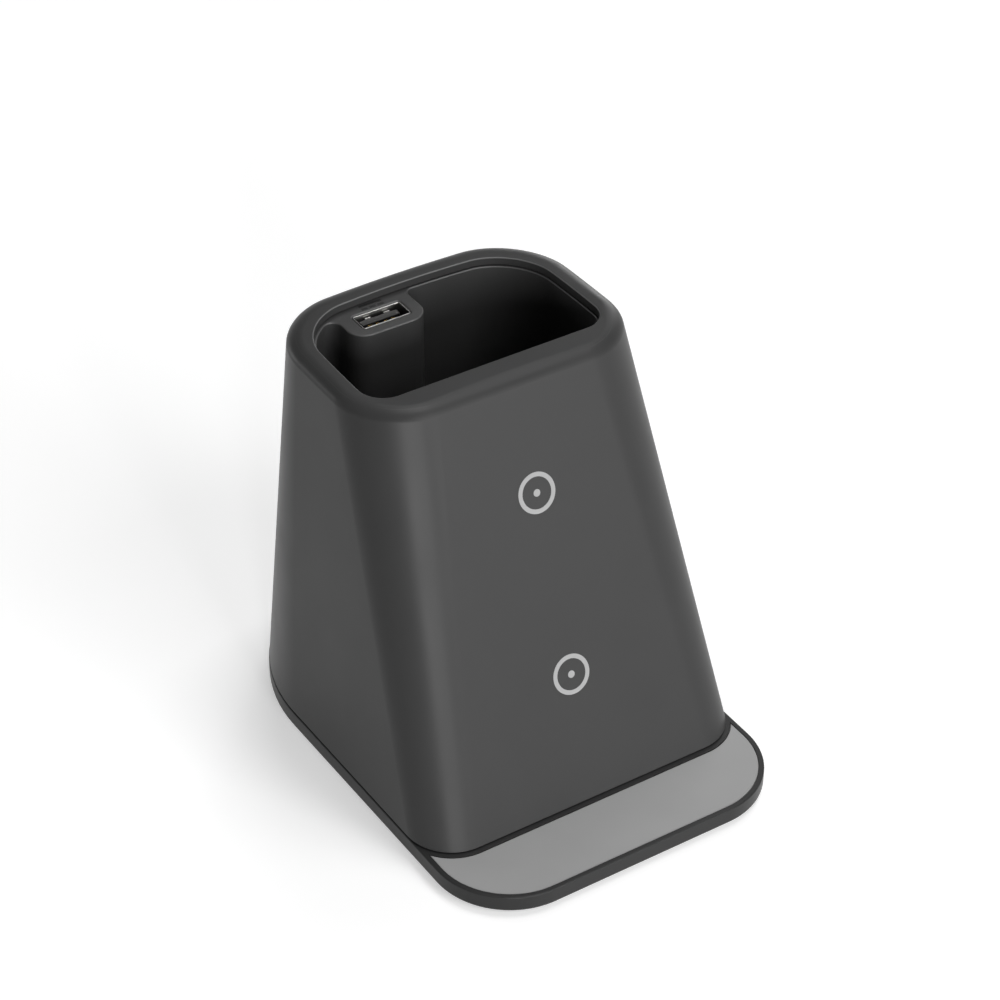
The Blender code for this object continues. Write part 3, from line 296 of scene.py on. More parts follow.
def from_bmesh(name, shape):
    bmesh.ops.recalc_face_normals(shape, faces=shape.faces)
    mesh = bpy.data.meshes.new(name)
    shape.to_mesh(mesh)
    shape.free()
    obj = bpy.data.objects.new(name, mesh)
    bpy.context.scene.collection.objects.link(obj)
    return obj


def turned_by(vector, angle):
    cos, sin = math.cos(angle), math.sin(angle)
    return Vector((vector.x * cos - vector.y * sin, vector.x * sin + vector.y * cos))


def rounded(corners, radii, between, steps=CORNER_STEPS):
    """An outline with an arc at each corner, and points spread along the sides after them."""
    arcs = []
    for index, corner in enumerate(corners):
        corner = Vector(corner)
        before = (Vector(corners[index - 1]) - corner).normalized()
        after = (Vector(corners[(index + 1) % len(corners)]) - corner).normalized()
        half = before.angle(after) / 2
        centre = corner + (before + after).normalized() * radii[index] / math.sin(half)
        start = corner + before * radii[index] / math.tan(half) - centre
        turn = math.pi - 2 * half
        if before.x * after.y - before.y * after.x > 0:
            turn = -turn
        arcs.append([centre + turned_by(start, turn * k / steps) for k in range(steps + 1)])
    points = []
    for index, arc in enumerate(arcs):
        points += arc
        following = arcs[(index + 1) % len(arcs)][0]
        for k in range(between[index]):
            points.append(arc[-1].lerp(following, (k + 1) / (between[index] + 1)))
    return points


def section(front, back, front_width, rear_width, front_radius, rear_radius, bow, side_bow):
    """A plan with round corners, a bowed back and sides that swell a little."""
    rear = back - bow
    corners = [
        (-front_width / 2, front),
        (front_width / 2, front),
        (rear_width / 2, rear),
        (-rear_width / 2, rear),
    ]
    radii = [front_radius, front_radius, rear_radius, rear_radius]
    points = rounded(corners, radii, [SIDE_STEPS] * 4)
    for point in points:
        share = (point.y - front) / (rear - front)
        point.y += bow * share * (1 - (2 * point.x / rear_width) ** 2)
        point.x *= 1 + 8 * side_bow / rear_width * share * (1 - share)
    return points


def at_height(points, height):
    return [Vector((point.x, point.y, height)) for point in points]


def share_at(height):
    """How far up the body a height lies, from its foot to its head."""
    return (height - body_foot) / (head_height - body_foot)


def body_ring(height, inset=0.0):
    lean_in = inset / math.cos(lean)
    foot = section(
        face_foot + lean_in,
        body_back - inset,
        base_width - 2 * (body_step + inset),
        base_width - 2 * (body_step + inset),
        body_foot_radius - inset,
        base_rear_radius - inset,
        base_rear_bow,
        0.0,
    )
    head = section(
        head_front + lean_in,
        head_front + head_depth - inset,
        head_front_width - 2 * inset,
        head_rear_width - 2 * inset,
        head_front_radius - inset,
        head_rear_radius - inset,
        head_bow,
        head_side_bow,
    )
    share = share_at(height)
    return at_height([low.lerp(high, share) for low, high in zip(foot, head)], height)


def mouth_plan(inset=0.0):
    return section(
        mouth_front + inset,
        mouth_back - inset,
        mouth_front_width - 2 * inset,
        mouth_rear_width - 2 * inset,
        mouth_front_radius - inset,
        mouth_rear_radius - inset,
        mouth_bow,
        mouth_side_bow,
    )


def base_plan(inset=0.0):
    return section(
        front_edge + inset,
        rear_edge - inset,
        base_width - 2 * inset,
        base_width - 2 * inset,
        base_front_radius - inset,
        base_rear_radius - inset,
        base_rear_bow,
        0.0,
    )


def rolled(start, corner, end):
    """Rings along a conic that leaves the start towards the corner and arrives flat at the end."""
    rings = []
    for step in range(RIM_STEPS + 1):
        share = step / RIM_STEPS
        a = (1 - share) ** 2
        b = 2 * conic_share * share * (1 - share)
        c = share**2
        rings.append([(p * a + q * b + r * c) / (a + b + c) for p, q, r in zip(start, corner, end)])
    return rings


def loft(name, rings, is_loop=False):
    """Faces between rings of as many points, closed by caps or by the first ring again."""
    shape = bmesh.new()
    rows = [[shape.verts.new(point) for point in ring] for ring in rings]
    pairs = list(zip(rows, rows[1:]))
    if is_loop:
        pairs.append((rows[-1], rows[0]))
    for low, high in pairs:
        for k in range(len(low)):
            shape.faces.new((low[k - 1], low[k], high[k], high[k - 1]))
    if not is_loop:
        shape.faces.new(rows[0])
        shape.faces.new(rows[-1])
    return from_bmesh(name, shape)


def edge_rings(plan, inset, height, radius, inward, upward):
    """Rings of a quarter round on a plan's edge, from its wall to its flat."""
    rings = []
    for step in range(EDGE_STEPS + 1):
        turn = math.pi / 2 * step / EDGE_STEPS
        across = inset + inward * radius * (1 - math.cos(turn))
        rings.append(at_height(plan(across), height + upward * radius * (math.sin(turn) - 1)))
    return rings


def pill(width, height, radius, at=(0.0, 0.0)):
    """A rectangle with round corners, about a point."""
    quadrants = [(-1, -1), (1, -1), (1, 1), (-1, 1)]
    corners = [(at[0] + x * width / 2, at[1] + y * height / 2) for x, y in quadrants]
    return rounded(corners, [radius] * 4, [0] * 4, steps=PILL_STEPS)


def prism(name, plan, low, high):
    return loft(name, [at_height(plan, low), at_height(plan, high)])


def circle(radius, at=(0.0, 0.0)):
    turns = (2 * math.pi * k / ROUND_STEPS for k in range(ROUND_STEPS))
    return [Vector((at[0] + radius * math.cos(t), at[1] + radius * math.sin(t))) for t in turns]


def block(name, low, high, edge=0.0):
    """A box, with its edges rounded where an edge is given."""
    low, high = Vector(low), Vector(high)
    shape = bmesh.new()
    bmesh.ops.create_cube(shape, size=1.0)
    bmesh.ops.scale(shape, vec=high - low, verts=shape.verts)
    bmesh.ops.translate(shape, vec=(low + high) / 2, verts=shape.verts)
    obj = from_bmesh(name, shape)
    if edge:
        bevel = obj.modifiers.new("edge", "BEVEL")
        bevel.width = edge
        bevel.segments = BEVEL_STEPS
    return obj


def combine(target, other, operation):
    """Applies a Boolean at once and removes the other object."""
    step = target.modifiers.new(operation.lower(), "BOOLEAN")
    step.operation = operation
    step.solver = "EXACT"
    step.object = other
    apply_modifiers(target)
    bpy.data.objects.remove(other, do_unlink=True)


def apply_modifiers(obj):
    bpy.context.view_layer.update()
    graph = bpy.context.evaluated_depsgraph_get()
    mesh = bpy.data.meshes.new_from_object(obj.evaluated_get(graph))
    old = obj.data
    obj.modifiers.clear()
    obj.data = mesh
    bpy.data.meshes.remove(old)


def split_faces(obj):
    """Makes triangles of the faces, which may bend, so that a cut leaves no slivers."""
    shape = bmesh.new()
    shape.from_mesh(obj.data)
    bmesh.ops.triangulate(shape, faces=shape.faces)
    shape.to_mesh(obj.data)
    shape.free()


def cut(target, *others):
    for other in others:
        combine(target, other, "DIFFERENCE")


def join(target, *others):
    for other in others:
        combine(target, other, "UNION")


def soften(obj):
    """Smooth shading that keeps flats flat and hard edges hard."""
    obj.data.shade_smooth()
    obj.data.set_sharp_from_angle(angle=SHARP_ANGLE)
    normals = obj.modifiers.new("normals", "WEIGHTED_NORMAL")
    normals.keep_sharp = True
    return obj


def on_face(side, proud, rise):
    """A point on the leaning face: across it, out of it, and up along it."""
    return Vector(
        (
            side,
            face_foot + rise * math.sin(lean) - proud * math.cos(lean),
            body_foot + rise * math.cos(lean) + proud * math.sin(lean),
        )
    )


def outer_back(height):
    return body_back + (head_front + head_depth - body_back) * share_at(height)


def dress(obj, finish, slot, *replaced):
    """Gives a piece its finish, hangs it under the root, and hides the parts that it replaces; the
    slot is not used.
    """
    obj.data.materials.clear()
    obj.data.materials.append(finish)
    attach(obj, "root")
    if replaced:
        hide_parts(*replaced)
    return obj


# Materials


def linear(code):
    """An sRGB hex colour as linear values, with full alpha."""
    channels = [int(code[k : k + 2], 16) / 255 for k in (1, 3, 5)]
    values = [c / 12.92 if c <= 0.04045 else ((c + 0.055) / 1.055) ** 2.4 for c in channels]
    return (*values, 1.0)


def add(tree, kind, inputs=(), **settings):
    """A node with its settings. An input is given a value, or another node's output to link."""
    node = tree.nodes.new(kind)
    for name, value in settings.items():
        setattr(node, name, value)
    for name, value in dict(inputs).items():
        if isinstance(value, bpy.types.NodeSocket):
            tree.links.new(value, node.inputs[name])
        else:
            node.inputs[name].default_value = value
    return node


def new_material(name, roughness, **sockets):
    """A Principled material: its tree, its shader, and metric coordinates for its patterns."""
    made = bpy.data.materials.new(name)
    made.use_nodes = True
    tree = made.node_tree
    shader = tree.nodes["Principled BSDF"]
    shader.inputs["Roughness"].default_value = roughness
    for socket, value in sockets.items():
        shader.inputs[socket.replace("_", " ")].default_value = value
    place = add(tree, "ShaderNodeTexCoord").outputs["Object"]
    return made, tree, shader, place


def mottle(tree, place, size, low, high):
    """Two colours mixed by soft noise of a real size."""
    pattern = {"Vector": place, "Scale": 1 / size, "Detail": noise_detail}
    noise = add(tree, "ShaderNodeTexNoise", pattern)
    ramp = add(tree, "ShaderNodeValToRGB", {"Fac": noise.outputs["Fac"]})
    for stop, share, code in zip(ramp.color_ramp.elements, (noise_low, noise_high), (low, high)):
        stop.position = share
        stop.color = linear(code)
    return ramp.outputs["Color"]


def grain(tree, place, size, depth):
    """A bump of soft noise of a real size and depth."""
    pattern = {"Vector": place, "Scale": 1 / size, "Detail": noise_detail}
    noise = add(tree, "ShaderNodeTexNoise", pattern)
    bump = add(tree, "ShaderNodeBump", {"Height": noise.outputs["Fac"], "Distance": depth})
    return bump.outputs["Normal"]


def paint_edge_highlight(tree, place, colour, highlight_colour, top, depth):
    """Paints a highlight: a paler colour mixed in on the rounded edge that lies just under a height.
    """
    height = add(tree, "ShaderNodeSeparateXYZ", {"Vector": place}).outputs["Z"]
    normal = add(tree, "ShaderNodeNewGeometry").outputs["Normal"]
    upward = add(tree, "ShaderNodeSeparateXYZ", {"Vector": normal}).outputs["Z"]
    near = add(tree, "ShaderNodeMath", {0: height, 1: top - depth}, operation="GREATER_THAN")
    tilted = add(
        tree,
        "ShaderNodeMapRange",
        {"Value": upward, "From Min": highlight_starts, "From Max": highlight_full},
    )
    share = add(
        tree,
        "ShaderNodeMath",
        {0: near.outputs["Value"], 1: tilted.outputs["Result"]},
        operation="MULTIPLY",
    )
    mixed = add(
        tree,
        "ShaderNodeMixRGB",
        {"Fac": share.outputs["Value"], "Color1": colour, "Color2": linear(highlight_colour)},
    )
    return mixed.outputs["Color"]


def moulded(name, low, high, roughness, grain_size, grain_depth, painted_highlight=None, **sockets):
    """A moulded surface: faint patches of colour and roughness, the grain of its tool, and a painted
    highlight on an edge where one is given.
    """
    made, tree, shader, place = new_material(name, roughness, **sockets)
    colour = mottle(tree, place, patch_size, low, high)
    # Where given, a paler line is painted on a rounded edge as a highlight
    if painted_highlight:
        colour = paint_edge_highlight(tree, place, colour, *painted_highlight)
    tree.links.new(colour, shader.inputs["Base Color"])
    tree.links.new(grain(tree, place, grain_size, grain_depth), shader.inputs["Normal"])
    wear = add(
        tree,
        "ShaderNodeTexNoise",
        {"Vector": place, "Scale": 1 / patch_size, "Detail": wear_detail},
    )
    spread = add(
        tree,
        "ShaderNodeMapRange",
        {
            "Value": wear.outputs["Fac"],
            "From Min": noise_low,
            "From Max": noise_high,
            "To Min": roughness - roughness_spread,
            "To Max": roughness + roughness_spread,
        },
    )
    tree.links.new(spread.outputs["Result"], shader.inputs["Roughness"])
    return made


def metal(name, low, high, roughness, streak):
    """A plated or drawn metal: its reflectance varies along fine streaks."""
    made, tree, shader, place = new_material(name, roughness, Metallic=1.0)
    scale = (1.0, 1.0, streak_stretch)
    stretched = add(tree, "ShaderNodeMapping", {"Vector": place, "Scale": scale}).outputs["Vector"]
    tree.links.new(mottle(tree, stretched, streak, low, high), shader.inputs["Base Color"])
    tree.links.new(grain(tree, stretched, streak, streak_depth), shader.inputs["Normal"])
    return made


def litz_wire():
    """Enamelled strands twisted into a bundle: copper with fine slanting bands."""
    made, tree, shader, place = new_material("litz_copper", 0.36, Metallic=1.0)
    bands = add(
        tree,
        "ShaderNodeTexWave",
        {"Vector": place, "Scale": 1 / strand_pitch, "Distortion": strand_waver, "Detail": 1.0},
        bands_direction="DIAGONAL",
    )
    ramp = add(tree, "ShaderNodeValToRGB", {"Fac": bands.outputs["Fac"]})
    ramp.color_ramp.elements[0].color = linear("#9a5430")
    ramp.color_ramp.elements[1].color = linear("#c67748")
    tree.links.new(ramp.outputs["Color"], shader.inputs["Base Color"])
    bump = add(tree, "ShaderNodeBump", {"Height": bands.outputs["Fac"], "Distance": strand_depth})
    tree.links.new(bump.outputs["Normal"], shader.inputs["Normal"])
    return made


def solder_mask():
    """Glass-epoxy board under green solder mask: faint tracks show as a lighter green."""
    made, tree, shader, place = new_material("green_solder_mask", 0.35)
    tracks = add(
        tree,
        "ShaderNodeTexBrick",
        {
            "Vector": place,
            "Color1": linear("#0f4a2c"),
            "Color2": linear("#11502f"),
            "Mortar": linear("#1c6a42"),
            "Scale": 1.0,
            "Mortar Size": track_gap,
            "Brick Width": track_length,
            "Row Height": track_pitch,
        },
    )
    tree.links.new(tracks.outputs["Color"], shader.inputs["Base Color"])
    bump = add(tree, "ShaderNodeBump", {"Height": tracks.outputs["Fac"], "Distance": track_depth})
    tree.links.new(bump.outputs["Normal"], shader.inputs["Normal"])
    return made


def make_finishes():
    """Each finish by its place: its colours, its roughness, and the size and depth of its grain."""
    # A grain too fine for the render is drawn coarser, at 0.12 mm or more, so that it shows
    made = {}
    # ABS under a soft-touch lacquer: an even charcoal with a wide dull sheen and no sparkle, and
    # a thin pale line painted round the mouth's edge as a highlight
    lacquer = (0.40, 0.35 * MM, 0.003 * MM)
    made["body"] = moulded(
        "soft_touch_lacquer",
        "#373737",
        "#393939",
        *lacquer,
        # The pale line round the mouth's edge is a painted highlight
        painted_highlight=("#646464", body_height, mouth_edge_round),
        Specular_IOR_Level=0.2,
    )
    # The same lacquer on the base
    made["base"] = moulded("soft_touch_base", "#2e2e2e", "#303030", *lacquer, Specular_IOR_Level=0.2)
    # ABS from a spark-eroded tool: a fine even texture, drawn about twice as coarse, and the same
    # painted highlight line on its lip
    made["cup"] = moulded(
        "spark_textured_abs",
        "#383838",
        "#3b3b3b",
        0.42,
        0.25 * MM,
        0.004 * MM,
        # The pale line on the lip is a painted highlight
        painted_highlight=("#505050", lip_height, lip_round),
        Specular_IOR_Level=0.5,
    )
    # Black foil hot-stamped on the deck: smoother and darker than the plastic round it
    made["stamp"] = moulded("hot_stamped_black", "#141414", "#181818", 0.34, 0.25 * MM, 0.002 * MM)
    # Silicone from a matt tool: mid grey, dull, with a faint bloom
    made["pad"] = moulded(
        "matt_silicone", "#a1a1a1", "#a5a5a5", 0.62, 0.2 * MM, 0.004 * MM, Specular_IOR_Level=0.25
    )
    # Rubber feet: black, dull, a little dusty
    made["rubber"] = moulded("black_rubber", "#1d1d1d", "#232323", 0.75, 0.4 * MM, 0.01 * MM)
    # Nylon, unfilled: milky, with a slight gloss
    made["bracket"] = moulded("natural_nylon", "#d3d0c4", "#d9d6ca", 0.42, 0.6 * MM, 0.005 * MM)
    # Phenolic insulator in the sockets: black with a low gloss
    made["insulator"] = moulded("socket_insulator", "#161616", "#1a1a1a", 0.42, 0.2 * MM, 0.003 * MM)
    # Pad-printed ink: flat light grey, a little duller than the lacquer
    made["ink"] = moulded("printed_ink", "#a0a0a0", "#a3a3a3", 0.55, 0.12 * MM, 0.003 * MM)
    # Zinc-plated steel: bluish white metal with a soft brushed look
    made["steel"] = metal("zinc_plated_steel", "#b9bcc0", "#c6c8ca", 0.34, 0.2 * MM)
    # Nickel-plated socket shells: bright metal with a hint of warmth, drawn and slightly streaked
    made["nickel"] = metal("nickel_plate", "#bcbbb8", "#c6c5c3", 0.28, 0.5 * MM)
    # Gold flash on the contacts: a thin warm shine
    made["gold"] = metal("gold_contact", "#c8a456", "#d0ad62", 0.25, 0.3 * MM)
    # Aluminium capacitor can: drawn, satin
    made["can"] = metal("drawn_aluminium", "#c4c5c7", "#cfd0d2", 0.3, 0.4 * MM)
    made["copper"] = litz_wire()
    # Sintered ferrite: near black, pitted
    made["ferrite"] = moulded("sintered_ferrite", "#26262a", "#323236", 0.6, 0.3 * MM, 0.02 * MM)
    made["board"] = solder_mask()
    # Moulded epoxy packages: black, matt, sandy
    made["chip"] = moulded("black_epoxy", "#1b1b1d", "#232325", 0.5, 0.15 * MM, 0.006 * MM)
    # Dipped film capacitors: tan resin with a soft gloss
    made["film"] = moulded("dipped_resin", "#a97a3c", "#b58645", 0.35, 0.8 * MM, 0.02 * MM)
    # PVC sleeves on the leads and cables: one even colour with the dull gloss of soft plastic
    made["lead"] = moulded("red_lead_sleeve", "#a02420", "#a82a26", 0.4, 0.5 * MM, 0.004 * MM)
    made["cable"] = moulded("black_cable_sleeve", "#1e1e1e", "#242424", 0.45, 0.5 * MM, 0.004 * MM)
    return made


# Pieces


def make_body(finish):
    """The tapered shell: foot, wall, rolled rim, mouth and inner wall, with the inlet's recess."""
    shoulder = body_height - shoulder_rise
    rim_start = body_height - rim_rise
    under_rim = body_height - rim_thickness
    low = body_foot + body_foot_round
    outside = [body_ring(body_foot, body_foot_round)]
    for step in range(WALL_BANDS):
        outside.append(body_ring(low + (shoulder - low) * step / WALL_BANDS))
    corner = body_ring(body_height)
    mouth = at_height(mouth_plan(), body_height)
    flat = [p + (q - p).normalized() * shoulder_run for p, q in zip(corner, mouth)]
    outside += rolled(body_ring(shoulder), corner, flat)
    edge = reversed(edge_rings(mouth_plan, 0.0, body_height, mouth_edge_round, -1, 1))
    inside = rolled(
        body_ring(rim_start, body_wall),
        body_ring(under_rim, body_wall),
        at_height(mouth_plan(), under_rim),
    )
    rings = [*outside, *edge, *reversed(inside), body_ring(body_foot, body_wall)]
    body = loft("body_shell", rings, is_loop=True)
    split_faces(body)
    cut_inlet(body)
    return dress(soften(body), finish, "body_plastic", "outer_shell")


def cut_inlet(body):
    """The recess for the plug and the slot for the socket, low in the back."""
    low, high = inlet_box
    middle = (low.z + high.z) / 2
    back = outer_back(middle)
    width, height = high.x - low.x + 2 * fit_gap, high.z - low.z + 2 * fit_gap
    slot = prism("slot", pill(width, height, height * round_end_share), -overrun, overrun)
    rings = []
    for grow, depth in (
        (0.0, -plug_recess_depth),
        (0.0, -plug_recess_flare),
        (plug_recess_flare, 0.0),
        (plug_recess_flare, overrun),
    ):
        width, height = plug_recess_width + 2 * grow, plug_recess_height + 2 * grow
        rings.append(at_height(pill(width, height, height * round_end_share), -depth))
    recess = loft("recess", rings)
    for cutter, place in ((slot, back - body_wall / 2), (recess, back)):
        cutter.rotation_euler.x = math.pi / 2
        cutter.location = (0.0, place, middle)
        cut(body, cutter)


def cup_plan(inset):
    """The cup's hollow from above: round corners, and the outlet's boss standing in from the back."""
    front = mouth_front + inset
    rear = mouth_back - mouth_bow - inset
    half_front = mouth_front_width / 2 - inset
    half_rear = mouth_rear_width / 2 - inset
    corner = mouth_rear_radius - inset
    middle = Vector((-half_rear + corner, rear - corner))
    touch = middle + turned_by(Vector((corner, 0.0)), boss_nook_angle)
    along = turned_by(Vector((0.0, 1.0)), boss_nook_angle)
    left = boss_left - inset
    nook = touch + along * ((left - touch.x) / along.x)
    bend = touch + along * ((-half_rear - touch.x) / along.x)
    corners = [
        (-half_front, front),
        (half_front, front),
        (half_rear, rear),
        (boss_right + inset, rear),
        (boss_right + inset, boss_front - inset),
        (left, boss_front - inset),
        (left, nook.y),
        (-half_rear, bend.y),
    ]
    radii = [
        mouth_front_radius - inset,
        mouth_front_radius - inset,
        corner,
        boss_root_radius - inset,
        boss_front_radius + inset,
        boss_front_radius + inset,
        boss_nook_radius - inset,
        corner,
    ]
    between = [SIDE_STEPS, SIDE_STEPS, SIDE_STEPS, 0, 0, 0, 0, SIDE_STEPS]
    points = rounded(corners, radii, between, CUP_CORNER_STEPS)
    arc = CUP_CORNER_STEPS + 1
    first_on_boss = 4 * arc + 3 * SIDE_STEPS
    boss_points = range(first_on_boss, first_on_boss + 2 * arc)
    for index, point in enumerate(points):
        share = (point.y - front) / (rear - front)
        if index not in boss_points:
            point.y += mouth_bow * share * (1 - (point.x / half_rear) ** 2)
        point.x *= 1 + 4 * mouth_side_bow / half_rear * share * (1 - share)
    return points


def make_cup(finish):
    """The cup under the mouth, with its rounded lip, its floor and the deck round the outlet."""
    outside = cup_step - cup_wall
    cup_bottom = cup_floor - cup_wall
    cup = loft(
        "cup_liner",
        [
            at_height(mouth_plan(outside + cup_draft), cup_bottom),
            at_height(mouth_plan(outside), lip_height),
        ],
    )
    rings = []
    for step in range(EDGE_STEPS + 1):
        turn = math.pi / 2 * step / EDGE_STEPS
        drawn_in = cup_draft + cup_floor_round * (1 - math.sin(turn))
        height = cup_floor + cup_floor_round * (1 - math.cos(turn))
        rings.append(at_height(cup_plan(cup_step + drawn_in), height))
    for step in range(EDGE_STEPS + 1):
        turn = math.pi / 2 * step / EDGE_STEPS
        drawn_out = lip_round * (1 - math.cos(turn))
        height = lip_height - lip_round * (1 - math.sin(turn))
        rings.append(at_height(cup_plan(cup_step - drawn_out), height))
    rings.append(at_height(cup_plan(cup_step - lip_round), lip_height + overrun))
    hollow = loft("hollow", rings)
    behind = block(
        "behind",
        (boss_left + cup_wall, boss_front + cup_wall, cup_bottom - overrun),
        (boss_right - cup_wall, mouth_back + overrun, lip_height - cup_wall),
    )
    window_rings = []
    for grow, height in (
        (0.0, lip_height - cup_wall - overrun),
        (0.0, lip_height - fit_gap),
        (fit_gap, lip_height),
        (fit_gap, lip_height + overrun),
    ):
        width = outlet_width + 2 * (outlet_slot_gap + grow)
        height_of_slot = outlet_height + 2 * (outlet_slot_gap + grow)
        corner = outlet_corner + outlet_slot_gap + grow
        plan = pill(width, height_of_slot, corner, (outlet_x, outlet_y))
        window_rings.append(at_height(plan, height))
    window = loft("window", window_rings)
    cut(cup, hollow, behind, window)
    return dress(soften(cup), finish, "cup_plastic", "cup_insert")


def make_outlet(nickel, insulator, gold):
    """The outlet's drawn sheath with four springs, and the tongue with its contacts."""
    low, high = outlet_box

    def outline(inset):
        width, height = outlet_width - 2 * inset, outlet_height - 2 * inset
        return pill(width, height, outlet_corner - inset, (outlet_x, outlet_y))

    floor = low.z + sheath_wall
    rings = [at_height(outline(0.0), low.z)]
    rings += edge_rings(outline, 0.0, outlet_top, sheath_round, 1, 1)
    rings += reversed(edge_rings(outline, sheath_wall, outlet_top, sheath_round, -1, 1))
    rings.append(at_height(outline(sheath_wall), floor))
    sheath = loft("outlet_sheath", rings)
    dress(soften(sheath), nickel, "socket_metal", "outlet_shell")

    walls = ((low.y + sheath_wall, 1, "front"), (high.y - sheath_wall, -1, "back"))
    for side, hand in ((-1, "left"), (1, "right")):
        for wall, inwards, facing in walls:
            x = outlet_x + side * spring_spread / 2
            rings = []
            for depth, reach in (
                (spring_low, 0.0),
                (spring_bend, spring_reach),
                (spring_tip, spring_tip_reach),
            ):
                near, far = wall + inwards * reach, wall + inwards * (reach + spring_thickness)
                corners = ((-1, near), (1, near), (1, far), (-1, far))
                plan = [Vector((x + across * spring_width / 2, y)) for across, y in corners]
                rings.append(at_height(plan, outlet_top - depth))
            spring = loft(f"outlet_spring_{hand}_{facing}", rings)
            dress(soften(spring), nickel, "socket_metal")

    low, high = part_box("outlet_tongue")
    thickness = (high.y - low.y) * tongue_thickness_share
    back = high.y - fit_gap
    root_top = low.z + (high.z - low.z) * tongue_root_share
    tongue = block("outlet_blade", (low.x, low.y, low.z), (high.x, high.y, root_top), tongue_edge)
    narrow = (high.x - low.x) * tongue_side_share
    blade = block(
        "blade",
        (low.x + narrow, back - thickness, root_top - tongue_overlap),
        (high.x - narrow, back, high.z),
        tongue_edge,
    )
    apply_modifiers(tongue)
    join(tongue, blade)
    dress(soften(tongue), insulator, "socket_plastic", "outlet_tongue")
    face, top = back - thickness, high.z - contact_margin
    for index in range(contact_count):
        x = outlet_x + (index - (contact_count - 1) / 2) * contact_pitch
        contact = block(
            f"outlet_contact_{index + 1}",
            (x - contact_width / 2, face - contact_thickness, top - contact_length),
            (x + contact_width / 2, face, top),
            contact_edge,
        )
        dress(soften(contact), gold, "socket_metal")


def make_inlet(nickel, gold):
    """The inlet's seamless sheath, and the contacts above and below its tongue."""
    low, high = inlet_box
    width, height, length = high.x - low.x, high.z - low.z, high.y - low.y

    def outline(inset):
        return pill(width - 2 * inset, height - 2 * inset, height * round_end_share - inset)

    rings = [at_height(outline(0.0), -length / 2)]
    rings += edge_rings(outline, 0.0, length / 2, sheath_round, 1, 1)
    rings += reversed(edge_rings(outline, sheath_wall, length / 2, sheath_round, -1, 1))
    rings.append(at_height(outline(sheath_wall), sheath_wall - length / 2))
    sheath = loft("inlet_sheath", rings)
    sheath.rotation_euler.x = -math.pi / 2
    sheath.location = (low + high) / 2
    dress(soften(sheath), nickel, "socket_metal", "inlet_shell")

    low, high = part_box("inlet_tongue")
    tip = high.y - inlet_contact_inset
    for index in range(inlet_contact_count):
        x = (index - (inlet_contact_count - 1) / 2) * inlet_contact_pitch
        for face, name in ((low.z, "lower"), (high.z, "upper")):
            outer = face + (contact_thickness if name == "upper" else -contact_thickness)
            contact = block(
                f"inlet_contact_{name}_{index + 1}",
                (x - inlet_contact_width / 2, tip - inlet_contact_length, min(face, outer)),
                (x + inlet_contact_width / 2, tip, max(face, outer)),
                contact_edge,
            )
            dress(soften(contact), gold, "socket_metal")


def make_deck_mark(finish):
    """The mark for direct current: a bar over three dashes, moulded on the deck."""
    back = outlet_box[1].y + deck_mark_behind
    dash = (deck_mark_width - 2 * deck_mark_gap) / 3
    strokes = [(0.0, deck_mark_width, back + deck_mark_stroke + deck_mark_gap)]
    strokes += [(side * (dash + deck_mark_gap), dash, back) for side in (-1, 0, 1)]
    for index, (aside, length, front) in enumerate(strokes):
        left = outlet_x + aside - length / 2
        stroke = block(
            f"deck_mark_{index + 1}",
            (left, front, lip_height - deck_mark_sink),
            (left + length, front + deck_mark_stroke, lip_height + deck_mark_height),
            deck_mark_edge,
        )
        dress(soften(stroke), finish, "cup_plastic")


def make_base(finish):
    """The base: rounded edges, the pad's bed in front, and a hollow underside."""
    rings = edge_rings(base_plan, 0.0, base_lift, base_under_round, 1, -1)
    rings = list(reversed(rings))
    rings += edge_rings(base_plan, 0.0, base_top, base_upper_round, 1, 1)
    base = loft("base_plate", rings)
    cut(base, prism("hollow", base_plan(base_skirt), base_lift - overrun, base_top - base_deck))
    bed = prism("bed", base_plan(pad_rim), base_top - pad_recess, base_top + overrun)
    behind = body_ring(body_foot, -pad_rib_behind)
    cut(bed, prism("bed_edge", behind, base_lift, base_top + 2 * overrun))
    cut(base, bed)
    return dress(soften(base), finish, "base_plastic", "base_tray")


def make_pad(finish):
    """The silicone pad in its bed, with a softened upper edge."""
    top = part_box("front_pad")[1].z
    front, behind = pad_rim + pad_gap, pad_rib_behind + pad_gap
    rings = [at_height(base_plan(front), base_top - pad_recess + fit_gap)]
    rings += edge_rings(base_plan, front, top, pad_round, 1, 1)
    pad = loft("ledge_pad", rings)
    edge = [
        at_height(body_ring(body_foot, -behind), base_lift),
        at_height(body_ring(body_foot, -behind), top - pad_round),
        at_height(body_ring(body_foot, -behind - pad_round), top),
        at_height(body_ring(body_foot, -behind - pad_round), top + overrun),
    ]
    cut(pad, loft("edge", edge))
    return dress(soften(pad), finish, "pad_silicone", "front_pad")


def make_feet(finish):
    """Each foot has a rounded edge and two shallow grip grooves."""
    for place in ("front_left", "front_right", "rear_left", "rear_right"):
        low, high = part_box(f"foot_{place}")
        radius, height = (high.x - low.x) / 2, high.z - low.z
        rings = [
            at_height(circle(radius * across, (low + high) / 2), low.z + height * up)
            for across, up in foot_profile_shares
        ]
        foot = loft(f"rubber_foot_{place}", rings)
        dress(soften(foot), finish, "foot_rubber", f"foot_{place}")


def make_rings(finish):
    """A printed ring with a dot marks the middle of each coil."""
    for name, rise in (("upper", coil_upper_rise), ("lower", coil_lower_rise)):
        ring = prism(f"{name}_coil_ring", circle(ring_radius), 0.0, ink_thickness)
        cut(ring, prism("inner", circle(ring_radius - ring_stroke), -overrun, overrun))
        dot = prism(f"{name}_coil_dot", circle(dot_radius), 0.0, ink_thickness)
        for piece in (ring, dot):
            piece.rotation_euler.x = math.pi / 2 - lean
            piece.location = on_face(0.0, ink_lift, rise)
            dress(soften(piece), finish, "body_plastic")


